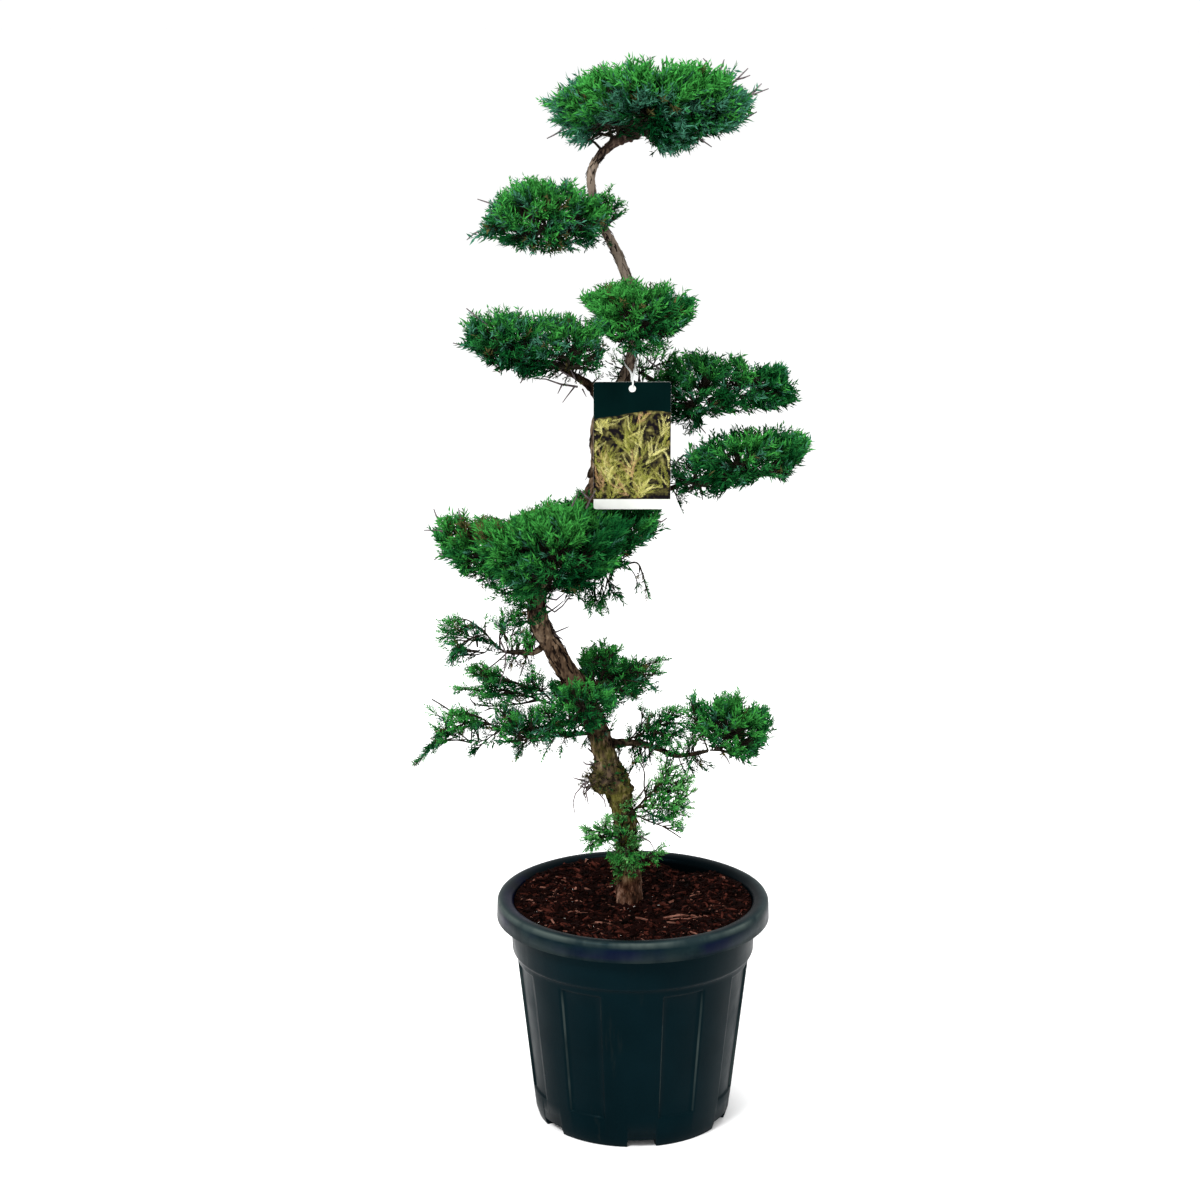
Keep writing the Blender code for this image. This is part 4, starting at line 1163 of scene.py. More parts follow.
# foliage
# carrier: the bough that bears the mass, or the point on the trunk where it starts, in millimetres
# lobes: middle and half sizes in millimetres; widening: how much wider they get towards their top
# light and blue shift its greens (light partly painted light and shade, partly its own tone), dry is the
# share that has turned brown, outlines are the pads it may fill
def mass(carrier, lobes, widening=0.0, dense=True, light=0.0, blue=0.15, dry=0.03, outlines=None):
    return {"carrier": carrier, "lobes": lobes, "widening": widening, "dense": dense, "light": light,
            "blue": blue, "dry": dry, "outlines": outlines}


massPlan = {
    "top": mass("trunkTip", [((27, 0, 1332), (138, 110, 65))], widening=0.1, blue=1.25, dry=0.01,
        outlines=["top"]),
    "upper_left": mass("upper_left", [((-121, -10, 1199), (88, 76, 53))], widening=0.1, blue=0.6,
        outlines=["upperLeft"]),
    "upper_wisp": mass((-47, -6, 1205), [((-30, -18, 1214), (24, 28, 24))], widening=0.2, dense=False,
        blue=0.3, dry=0.05, outlines=["upperLeft"]),
    "upper_centre": mass((-1, 3, 1050), [((-1, -56, 1078), (78, 54, 55))], widening=0.42, light=0.12,
        dry=0.02, outlines=["upperCentre"]),
    "upper_back": mass((3, 6, 1062), [((4, 64, 1068), (67, 54, 46))], widening=0.25),
    "mid_left": mass("mid_left", [((-163, -20, 1045), (67, 72, 48)), ((-82, -18, 1031), (68, 64, 49))],
        widening=0.1, light=-0.1, blue=0.45, dry=0.02, outlines=["midLeft"]),
    "mid_right": mass("mid_right", [((87, 30, 974), (56, 62, 55)), ((144, 30, 983), (72, 66, 43))],
        light=-0.18, blue=0.25, dry=0.01, outlines=["midRight", "behindTag"]),
    "lower_right": mass("lower_right", [((152, 10, 890), (86, 72, 46)), ((88, 10, 868), (44, 46, 34))],
        widening=0.05, light=-0.14, blue=0.2, dry=0.01, outlines=["lowRight", "behindTag"]),
    "big_left": mass("big_left", [((-195, -4, 776), (72, 72, 57))], widening=0.3, light=0.02, blue=0.1,
        dry=0.04, outlines=["big"]),
    "big_front": mass((-117, -8, 735), [((-106, -72, 782), (82, 60, 67))], widening=0.35, light=-0.01,
        blue=0.1, dry=0.01, outlines=["big"]),
    "big_right": mass("big_right", [((-26, -2, 782), (64, 66, 55))], widening=0.3, light=-0.1,
        blue=0.05, dry=0.02, outlines=["big", "behindTag"]),
    "big_back": mass((-115, -7, 765), [((-110, 70, 776), (84, 60, 55))], widening=0.3, light=-0.03,
        outlines=["big"]),
    "big_hanging": mass((-122, -9, 722), [((-36, -34, 722), (40, 34, 30))], dense=False, light=-0.45,
        blue=0.05, dry=0.25, outlines=["bigHanging"]),
    "small_left": mass("small_left",
        [((-212, -12, 658), (38, 40, 37)), ((-166, -14, 669), (34, 38, 25))], dense=False, light=0.06,
        blue=0.35, outlines=["smallLeft", "smallLeftUpper"]),
    "long_left_upper": mass((-78, -4, 606), [((-150, -4, 592), (64, 46, 31))], dense=False, light=0.02,
        blue=0.22, dry=0.05, outlines=["longTop", "longMid"]),
    "long_left": mass("long_left",
        [((-150, -28, 540), (64, 60, 36)), ((-226, -32, 528), (60, 48, 38))], dense=False, light=0.04,
        blue=0.3, outlines=["longLow"]),
    "trunk_tuft": mass((-68, -3, 587), [((-66, -52, 579), (43, 36, 39))], light=-0.08, blue=0.1, dry=0,
        outlines=["tuft"]),
    "low_back": mass((-60, -1, 570), [((-48, 80, 576), (60, 56, 41))], widening=0.1, light=-0.05),
    "small_right": mass((-83, -6, 616), [((0, 22, 602), (44, 42, 28)), ((-44, 24, 628), (34, 36, 22))],
        dense=False, light=0.1, outlines=["smallRight"]),
    "right_pad": mass("right", [((128, 0, 531), (54, 56, 50))], widening=0.1, light=-0.02, blue=0.2,
        dry=0.01, outlines=["right"]),
    "right_inner": mass((-42, 3, 522), [((40, 0, 541), (38, 36, 24))], dense=False, light=-0.06,
        blue=0.05, outlines=["right"]),
    "base_right": mass((-24, 10, 440), [((36, -10, 441), (36, 34, 50))], widening=0.15, dense=False,
        light=0.34, blue=0.25, dry=0.06, outlines=["baseRight"]),
    "base_front": mass((-14, 12, 384), [((-9, -36, 394), (48, 34, 40))], widening=0.1, dense=False,
        light=0.42, blue=0.1, dry=0, outlines=["baseFront", "baseFoot"]),
}
# each pad seen from the front: the plane it stands in and its edge as (x, z), in millimetres
padOutlines = {
    "top": (0, [
        (-118, 1343), (-100, 1352), (-95, 1360), (-82, 1362), (-80, 1370), (-70, 1374), (-60, 1380),
        (-50, 1384), (-42, 1391), (-36, 1384), (-28, 1387), (-18, 1384), (-10, 1391), (-4, 1393),
        (4, 1390), (8, 1396), (18, 1397), (22, 1388), (30, 1386), (40, 1390), (60, 1393), (76, 1393),
        (86, 1389), (94, 1388), (100, 1378), (108, 1388), (120, 1386), (130, 1385), (126, 1376),
        (116, 1371), (122, 1366), (126, 1359), (136, 1364), (150, 1359), (144, 1346), (140, 1336),
        (137, 1326), (130, 1315), (120, 1309), (104, 1305), (92, 1301), (80, 1303), (78, 1290),
        (66, 1298), (68, 1278), (57, 1288), (51, 1268), (44, 1281), (36, 1274), (28, 1286), (20, 1277),
        (14, 1294), (4, 1300), (-12, 1298), (-24, 1304), (-30, 1314), (-38, 1316), (-46, 1300),
        (-60, 1285), (-66, 1298), (-78, 1289), (-96, 1286), (-90, 1300), (-105, 1297), (-98, 1310),
        (-113, 1322), (-100, 1328), (-106, 1336),
    ]),
    "upperLeft": (-10, [
        (-84, 1257), (-67, 1240), (-60, 1226), (-36, 1231), (-20, 1217), (-30, 1200), (-36, 1180),
        (-44, 1163), (-100, 1153), (-129, 1156), (-167, 1171), (-195, 1179), (-208, 1178), (-188, 1197),
        (-182, 1214), (-155, 1246), (-140, 1251), (-105, 1254), (-90, 1242),
    ]),
    "upperCentre": (-20, [
        (-6, 1129), (21, 1117), (43, 1128), (46, 1109), (75, 1104), (72, 1077), (56, 1062), (48, 1045),
        (62, 1030), (50, 1016), (0, 1020), (-20, 1040), (-44, 1060), (-46, 1084), (-74, 1104),
        (-20, 1125),
    ]),
    "midLeft": (-20, [
        (-84, 1091), (-61, 1072), (-44, 1078), (-36, 1040), (-38, 1004), (-52, 1002), (-62, 1010),
        (-74, 1022), (-88, 1022), (-100, 1008), (-132, 1002), (-146, 995), (-158, 1015), (-175, 1009),
        (-200, 1037), (-222, 1043), (-209, 1053), (-213, 1064), (-208, 1085), (-166, 1088), (-118, 1082),
        (-96, 1084),
    ]),
    "midRight": (30, [
        (20, 1036), (47, 1030), (105, 1027), (116, 1019), (133, 1026), (147, 1009), (200, 1011),
        (198, 996), (214, 966), (183, 951), (141, 948), (112, 946), (86, 940), (93, 924), (75, 914),
        (48, 925), (30, 960), (8, 985), (4, 1012),
    ]),
    "lowRight": (10, [
        (128, 933), (160, 931), (188, 935), (231, 918), (214, 894), (194, 861), (161, 869), (140, 856),
        (108, 855), (106, 837), (89, 832), (78, 850), (54, 835), (49, 880), (85, 916), (102, 926),
    ]),
    "big": (-20, [
        (-262, 805), (-247, 815), (-252, 829), (-228, 824), (-218, 829), (-208, 817), (-192, 824),
        (-166, 813), (-140, 827), (-114, 843), (-80, 846), (-74, 856), (-64, 862), (-54, 856),
        (-48, 842), (-30, 846), (10, 846), (28, 838), (38, 820), (32, 795), (12, 792), (0, 779),
        (-12, 760), (-22, 749), (-30, 744), (-12, 730), (-24, 724), (-12, 712), (-32, 712), (-38, 692),
        (-50, 704), (-58, 694), (-64, 708), (-70, 716), (-80, 722), (-92, 728), (-112, 700), (-118, 674),
        (-142, 680), (-150, 700), (-176, 713), (-190, 714), (-208, 738), (-226, 746), (-240, 774),
        (-255, 771), (-247, 788),
    ]),
    "bigHanging": (-34, [
        (0, 778), (12, 768), (20, 750), (26, 720), (16, 726), (8, 748), (-6, 746), (-14, 752),
        (-24, 756),
    ]),
    "smallLeft": (-20, [
        (-250, 676), (-246, 684), (-230, 693), (-222, 686), (-214, 680), (-200, 678), (-196, 670),
        (-190, 664), (-182, 656), (-176, 650), (-160, 644), (-150, 647), (-140, 652), (-136, 640),
        (-126, 634), (-134, 627), (-146, 626), (-150, 636), (-168, 638), (-184, 645), (-196, 655),
        (-212, 656), (-216, 644), (-220, 632), (-234, 627), (-240, 640), (-236, 650), (-252, 648),
        (-252, 662), (-240, 665),
    ]),
    "smallLeftUpper": (-20, [
        (-192, 690), (-172, 697), (-150, 698), (-140, 692), (-136, 678), (-138, 664), (-150, 657),
        (-176, 659), (-170, 668), (-178, 678), (-186, 684),
    ]),
    "longTop": (-20, [
        (-214, 624), (-198, 628), (-184, 620), (-174, 620), (-168, 612), (-160, 603), (-144, 600),
        (-136, 615), (-122, 612), (-104, 605), (-88, 592), (-88, 575), (-98, 562), (-112, 580),
        (-134, 582), (-142, 592), (-162, 595), (-180, 602), (-196, 607), (-212, 611),
    ]),
    "longMid": (-20, [
        (-238, 593), (-218, 600), (-202, 597), (-188, 605), (-182, 591), (-156, 583), (-140, 588),
        (-140, 578), (-160, 574), (-182, 581), (-190, 568), (-204, 565), (-196, 578), (-204, 585),
        (-222, 587),
    ]),
    "longLow": (-20, [
        (-270, 583), (-262, 590), (-250, 588), (-238, 579), (-222, 567), (-200, 561), (-186, 563),
        (-178, 576), (-158, 573), (-140, 579), (-120, 578), (-104, 582), (-94, 570), (-88, 540),
        (-90, 526), (-98, 532), (-108, 514), (-118, 528), (-134, 524), (-138, 508), (-154, 505),
        (-154, 522), (-178, 520), (-190, 518), (-198, 528), (-207, 506), (-212, 524), (-222, 532),
        (-240, 529), (-246, 512), (-258, 502), (-262, 516), (-284, 486), (-280, 502), (-262, 522),
        (-256, 534), (-264, 550), (-242, 556), (-252, 570),
    ]),
    "tuft": (-20, [
        (-106, 592), (-90, 608), (-72, 614), (-50, 602), (-26, 600), (-14, 574), (-24, 562), (-30, 552),
        (-44, 538), (-62, 532), (-88, 532), (-106, 548),
    ]),
    "smallRight": (20, [
        (-70, 650), (-42, 643), (-22, 637), (-14, 620), (40, 623), (30, 605), (32, 580), (-4, 572),
        (-16, 556), (-40, 552), (-62, 580),
    ]),
    "right": (0, [
        (66, 579), (74, 582), (102, 572), (109, 581), (138, 582), (145, 568), (174, 564), (182, 531),
        (169, 501), (150, 489), (121, 496), (92, 498), (74, 476), (66, 477), (60, 492), (43, 495),
        (29, 506), (13, 490), (0, 488), (-27, 500), (-27, 540), (-10, 531), (13, 539), (9, 562),
        (26, 554), (44, 562), (68, 557),
    ]),
    "baseRight": (-10, [
        (28, 468), (36, 487), (48, 493), (55, 485), (72, 484), (62, 475), (78, 468), (66, 463),
        (76, 456), (65, 448), (73, 436), (67, 424), (60, 414), (66, 393), (55, 399), (50, 411),
        (38, 408), (26, 411), (12, 414), (4, 424), (8, 436), (22, 438), (18, 446), (10, 452), (20, 462),
    ]),
    "baseFront": (-30, [
        (-66, 411), (-50, 406), (-44, 414), (-34, 420), (-24, 411), (-8, 414), (-6, 400), (-14, 392),
        (-30, 390), (-40, 386), (-52, 379), (-62, 378), (-54, 390), (-62, 398),
    ]),
    "baseFoot": (-30, [
        (-28, 372), (0, 376), (16, 373), (34, 376), (50, 368), (40, 360), (16, 353), (10, 342),
        (-12, 340), (-26, 348),
    ]),
    "behindTag": (-30, [
        (-52, 835), (46, 835), (46, 998), (-52, 998),
    ]),
}
# where a pad is lighter or darker than its height says, as painted light and shade, and where it is browner
# seen from the front: x, z, reach and by how much
lightSpots = [
    (67, 1378, 45, 0.3), (-54, 1364, 42, 0.26), (22, 1326, 26, -0.55), (10, 1306, 40, -0.45),
    (90, 1318, 50, -0.12), (-118, 1222, 36, 0.16), (-106, 1164, 30, -0.1), (-14, 1100, 40, 0.16),
    (40, 1030, 20, 0.25), (38, 1074, 30, -0.32), (-150, 1064, 36, 0.1), (-94, 1010, 30, -0.35),
    (32, 970, 36, -0.35), (150, 1000, 40, 0.08), (90, 935, 26, -0.2), (173, 905, 36, 0.12),
    (84, 860, 34, -0.45), (-96, 818, 46, 0.22), (-170, 790, 40, 0.16), (-76, 730, 34, -0.6),
    (-20, 800, 44, -0.3), (-130, 770, 34, -0.15), (-66, 574, 34, -0.1), (0, 600, 60, -0.1),
    (142, 530, 36, 0.12), (40, 540, 40, -0.12), (-150, 535, 60, -0.1), (-215, 660, 30, -0.15),
    (-150, 1018, 40, -0.3), (-190, 1040, 30, -0.12), (60, 1100, 24, -0.35), (26, 1062, 26, -0.15),
    (40, 950, 34, -0.25), (0, 818, 36, -0.22), (186, 1000, 30, -0.15), (214, 900, 26, -0.2),
    (-66, 1204, 26, -0.25),
]
drySpots = [
    (-198, 816, 22, 0.3), (-106, 1160, 26, 0.25), (-50, 470, 30, 0.45), (-232, 806, 16, 0.25),
    (-2, 1366, 10, 0.35), (-64, 1350, 12, 0.25), (66, 1348, 10, 0.2), (20, 446, 16, 0.5),
]
# sprigs on the bark: place, spread, count, reach, then light, blue and dry as for a mass, and its outlines
sprigPatches = [
    ((-140, -14, 712), 34, 46, 34, 0, 0.08, 0.02, ["big"]),
    ((-112, -14, 716), 26, 20, 26, -0.25, 0.1, 0.03, ["big"]),
    ((-138, -16, 696), 14, 14, 14, 0.05, 0.05, 0.1),
    ((-70, -18, 590), 24, 44, 28, -0.05, 0.12, 0, ["tuft"]),
    ((-56, -14, 562), 20, 40, 26, -0.12, 0.12, 0, ["tuft"]),
    ((-64, -10, 546), 18, 26, 18, -0.1, 0.15, 0.03), ((-52, -8, 464), 14, 26, 9, -0.1, 0, 0.6),
    ((-30, -12, 478), 20, 34, 7, -0.05, 0, 0.55), ((2, -4, 424), 15, 16, 13, 0.35, 0, 0.05),
    ((-16, -8, 397), 15, 26, 13, 0.45, 0, 0), ((-10, -6, 354), 18, 44, 9, 0.62, 0, 0),
    ((8, -4, 360), 12, 18, 13, 0.5, 0.05, 0), ((4, -4, 384), 12, 12, 12, 0.45, 0.05, 0),
    ((-14, -8, 336), 12, 12, 8, 0.45, 0, 0.2), ((0, 0, 506), 20, 18, 20, -0.25, 0.15, 0.05),
    ((30, 0, 506), 20, 20, 20, -0.2, 0.15, 0.05), ((62, 0, 498), 18, 20, 20, -0.2, 0.2, 0.03),
    ((-90, -8, 545), 22, 26, 18, -0.15, 0.2, 0.03), ((-124, -14, 537), 26, 34, 18, -0.12, 0.2, 0.03),
    ((-148, -20, 536), 12, 14, 20, -0.1, 0.2, 0.03), ((-84, -12, 1011), 18, 15, 12, -0.15, 0.05, 0.55),
    ((-70, -4, 1010), 18, 14, 16, -0.1, 0.05, 0.25, ["midLeft"]),
    ((-40, -6, 1192), 16, 12, 18, -0.15, 0.15, 0.08),
    ((-66, -14, 848), 14, 22, 20, -0.05, 0.1, 0.02, ["big"]),
    ((-96, -14, 752), 18, 34, 24, -0.5, 0, 0, ["big"]),
    ((-72, -10, 744), 16, 22, 22, -0.5, 0, 0, ["big"]), ((20, 22, 984), 18, 16, 22, -0.25, 0.2, 0.03),
    ((-14, 14, 1010), 14, 10, 16, -0.1, 0.2, 0.05), ((-136, -12, 640), 8, 14, 20, -0.12, 0.2, 0.05),
    ((-152, -13, 642), 14, 16, 18, -0.12, 0.2, 0.05), ((40, 14, 852), 22, 14, 20, -0.3, 0.15, 0.05),
]
# where the sprays stand open: x, z, reach and the share that is missing
openSpots = [
    (-44, 1306, 20, 0.95), (-100, 1306, 26, 0.2), (20, 1290, 16, 0.6), (-8, 1304, 22, 0.85),
    (138, 1372, 24, 0.5), (-190, 1186, 26, 0.35), (-200, 1078, 22, 0.4), (-62, 990, 24, 0.5),
    (30, 1000, 30, 0.45), (70, 850, 30, 0.4), (100, 925, 24, 0.4), (-246, 800, 26, 0.4),
    (-86, 712, 20, 0.6), (70, 486, 24, 0.5), (-52, 1024, 14, 0.5), (8, 745, 26, 0.75),
    (-76, 1308, 30, 0.35), (108, 1384, 14, 0.5), (80, 562, 24, 0.55), (74, 516, 18, 0.5),
    (-8, 742, 20, 0.5), (128, 1322, 16, 0.3), (44, 1044, 22, 0.45), (-32, 1050, 20, 0.45),
    (56, 1110, 16, 0.45), (-60, 1100, 18, 0.35), (-70, 1236, 20, 0.4), (-150, 1162, 24, 0.35),
    (-60, 1160, 24, 0.35), (150, 960, 24, 0.35), (60, 1022, 16, 0.3), (200, 880, 20, 0.3),
    (120, 856, 18, 0.4), (26, 612, 18, 0.4),
]
skyWindows = [
    (-31, 1318, 8, 8), (-96, 706, 16, 13), (-36, 1300, 9, 7), (-200, 824, 7, 5), (-196, 560, 14, 10),
    (100, 942, 10, 7), (-28, 610, 6, 5), (-47, 601, 5, 4), (15, 464, 7, 9), (64, 548, 7, 6),
    (-122, 806, 5, 4),
]
# side branches, by the mass that grows on them, in millimetres
sideBranches = {
    "upper_wisp": [
        [(-46, -8, 1201), (-35, -16, 1209), (-20, -22, 1216)],
        [(-44, -10, 1206), (-39, -20, 1221), (-33, -26, 1235)],
        [(-42, -10, 1196), (-32, -20, 1197), (-24, -20, 1201)],
    ],
    "big_right": [
        [(-41, -4, 757), (-34, -16, 738), (-28, -24, 724), (-18, -28, 714)],
        [(-50, -8, 744), (-50, -20, 722), (-46, -26, 704)],
        [(-34, -16, 738), (-24, -24, 732), (-14, -28, 728)],
        [(-46, -8, 746), (-40, -22, 726), (-36, -28, 710)],
        [(-56, -6, 742), (-62, -16, 724), (-64, -20, 712)],
        [(-50, -20, 722), (-56, -26, 710), (-60, -28, 702)],
    ],
    "mid_right": [
        [(7, 20, 1002), (26, 12, 1011), (48, 20, 1018)], [(14, 20, 994), (32, 10, 988), (53, 20, 982)],
        [(48, 30, 958), (71, 20, 945), (89, 20, 927)],
    ],
    "big_hanging": [
        [(-44, -12, 744), (-16, -30, 760), (3, -36, 766), (11, -38, 750), (16, -36, 728)],
        [(-9, -30, 762), (0, -40, 752), (4, -36, 739)],
        [(-28, -20, 753), (-18, -30, 768), (0, -30, 779)],
    ],
    "small_left": [
        [(-142, -12, 643), (-164, -14, 641), (-183, -15, 657), (-199, -12, 674), (-222, -12, 675),
         (-243, -10, 665)],
        [(-191, -13, 666), (-214, -20, 660), (-230, -20, 646), (-235, -16, 632)],
        [(-173, -14, 647), (-173, -4, 664), (-165, 0, 678), (-152, 0, 689)],
        [(-164, -14, 641), (-175, -20, 632), (-188, -24, 623), (-201, -20, 617)],
        [(-154, -12, 644), (-157, -18, 630), (-166, -20, 617)],
        [(-199, -12, 674), (-217, 6, 680), (-236, 12, 678)],
        [(-183, -15, 657), (-192, 6, 637), (-208, 14, 630)],
    ],
    "long_left_upper": [
        [(-93, -4, 564), (-122, -6, 575), (-155, -10, 587), (-186, -12, 590), (-230, -14, 592)],
        [(-122, -6, 575), (-151, 10, 565), (-188, 14, 561), (-219, 16, 564)],
        [(-101, -4, 566), (-118, -8, 586), (-140, -12, 596), (-160, -12, 603), (-180, -12, 612),
         (-204, -12, 622)],
        [(-160, -12, 603), (-178, -16, 606), (-204, -18, 613)],
        [(-118, -8, 586), (-130, -12, 598), (-131, -14, 613)],
        [(-155, -10, 587), (-176, -6, 592), (-190, -4, 602)],
        [(-111, -5, 571), (-96, 6, 585), (-91, 12, 597)],
    ],
    "long_left": [
        [(-57, -8, 530), (-96, -14, 529), (-148, -22, 530), (-186, -26, 548), (-212, -30, 552),
         (-246, -34, 539), (-264, -36, 522), (-280, -36, 496)],
        [(-212, -30, 552), (-230, -40, 566), (-250, -44, 581), (-265, -44, 590)],
        [(-174, -26, 540), (-191, -40, 531), (-204, -46, 518)],
        [(-135, -20, 529), (-142, -30, 523), (-149, -34, 512)],
        [(-101, -14, 529), (-106, -26, 524), (-112, -30, 516)],
        [(-148, -22, 530), (-169, -10, 557), (-187, -4, 564)],
        [(-246, -34, 539), (-244, -20, 549), (-257, -12, 558)],
        [(-115, -16, 528), (-135, -6, 545), (-159, 0, 549)],
        [(-96, -14, 529), (-101, -30, 552), (-115, -40, 569)],
        [(-186, -26, 548), (-201, -50, 566), (-221, -56, 574)],
        [(-78, -12, 529), (-88, -30, 531), (-93, -36, 524)],
    ],
    "small_right": [
        [(-72, 8, 585), (-49, 20, 589), (-25, 22, 600), (1, 20, 611), (37, 18, 621)],
        [(-57, 16, 588), (-49, 26, 607), (-42, 30, 622), (-40, 30, 635)],
        [(-25, 22, 600), (-4, 36, 587), (20, 40, 584), (30, 40, 575)],
        [(-38, 20, 595), (-15, 6, 585), (-5, 0, 579)], [(-44, 20, 592), (-36, 6, 620), (-26, 0, 638)],
        [(1, 20, 611), (14, 0, 608), (29, -8, 611)],
    ],
    "right_inner": [
        [(-15, 4, 515), (9, 2, 526), (30, 0, 541), (55, -4, 556)],
        [(9, 2, 526), (11, 10, 540), (11, 14, 554)], [(22, 0, 535), (37, -14, 531), (55, -18, 530)],
        [(1, 2, 521), (19, -12, 517), (34, -16, 513)], [(30, 0, 541), (40, 14, 547), (51, 18, 553)],
    ],
    "right_pad": [
        [(98, 0, 504), (87, -10, 536), (78, -14, 561), (73, -14, 582)],
        [(103, 0, 505), (107, -16, 540), (109, -20, 563), (107, -22, 581)],
        [(106, 0, 505), (129, 4, 542), (134, 6, 561), (136, 6, 576)],
        [(108, 0, 506), (141, -10, 536), (159, -12, 552), (170, -12, 565)],
        [(108, 0, 506), (145, 10, 516), (164, 14, 521), (178, 14, 527)],
        [(100, 0, 505), (132, -6, 504), (150, -10, 497)], [(87, 0, 502), (76, -16, 499), (71, -20, 487)],
    ],
    "base_right": [
        [(-12, -4, 413), (4, -8, 428), (22, -12, 448), (37, -14, 468), (53, -14, 485), (74, -12, 494)],
        [(4, -8, 428), (24, -18, 434), (48, -22, 438), (71, -22, 433)],
        [(22, -12, 448), (40, 4, 446), (59, 10, 452)],
        [(-4, -6, 422), (17, -20, 415), (38, -26, 409), (58, -26, 402)],
        [(17, -10, 440), (14, -20, 462), (14, -22, 482), (8, -20, 496)],
        [(9, -8, 431), (28, 8, 411), (46, 12, 407)], [(48, -22, 438), (62, -26, 446), (76, -26, 455)],
        [(37, -14, 468), (52, -20, 466), (70, -20, 467)],
        [(38, -26, 409), (54, -30, 400), (66, -30, 391)],
        [(37, -14, 468), (38, -10, 480), (36, -8, 490)],
        [(48, -22, 438), (60, -20, 424), (70, -18, 420)],
    ],
    "base_front": [
        [(-16, -4, 392), (-30, -22, 398), (-44, -30, 402), (-60, -34, 407)],
        [(-16, -4, 390), (-34, -26, 394), (-50, -34, 390), (-62, -36, 381)],
        [(-30, -22, 398), (-38, -30, 408), (-36, -32, 418)],
        [(-34, -26, 394), (-48, -38, 400), (-58, -40, 396)],
        [(4, -2, 352), (16, -16, 362), (32, -22, 366), (46, -24, 368)],
        [(16, -16, 362), (26, -22, 372), (32, -24, 376)],
        [(-6, -4, 356), (-16, -14, 360), (-24, -18, 364)],
    ],
}
# dark spurs that leave the trunk's end for the top pad
spurs = [
    [(-34, -3, 1288), (-29, -8, 1302), (-34, -12, 1313), (-46, -16, 1320), (-62, -20, 1324)],
    [(-34, -12, 1313), (-32, -18, 1322), (-30, -24, 1332)],
    [(-26, -2, 1293), (-22, -10, 1306), (-26, -16, 1316)],
    [(-22, -10, 1306), (-20, -18, 1318), (-24, -22, 1330)],
    [(-16, 0, 1298), (-8, -12, 1312), (-4, -20, 1324)],
    [(-8, -12, 1312), (-14, -18, 1320), (-16, -22, 1332)],
    [(-6, 2, 1303), (8, -12, 1314), (20, -20, 1324)],
    [(-40, 4, 1282), (-50, 12, 1292), (-64, 16, 1300), (-82, 18, 1304)],
    [(-20, 0, 1296), (-6, -14, 1300), (10, -22, 1304)],
    [(-29, -8, 1302), (-44, -10, 1305), (-56, -12, 1298), (-70, -14, 1300)],
    [(-46, -16, 1320), (-58, -20, 1314), (-74, -24, 1312)],
    [(-12, -2, 1300), (0, -14, 1308), (8, -20, 1320)],
]
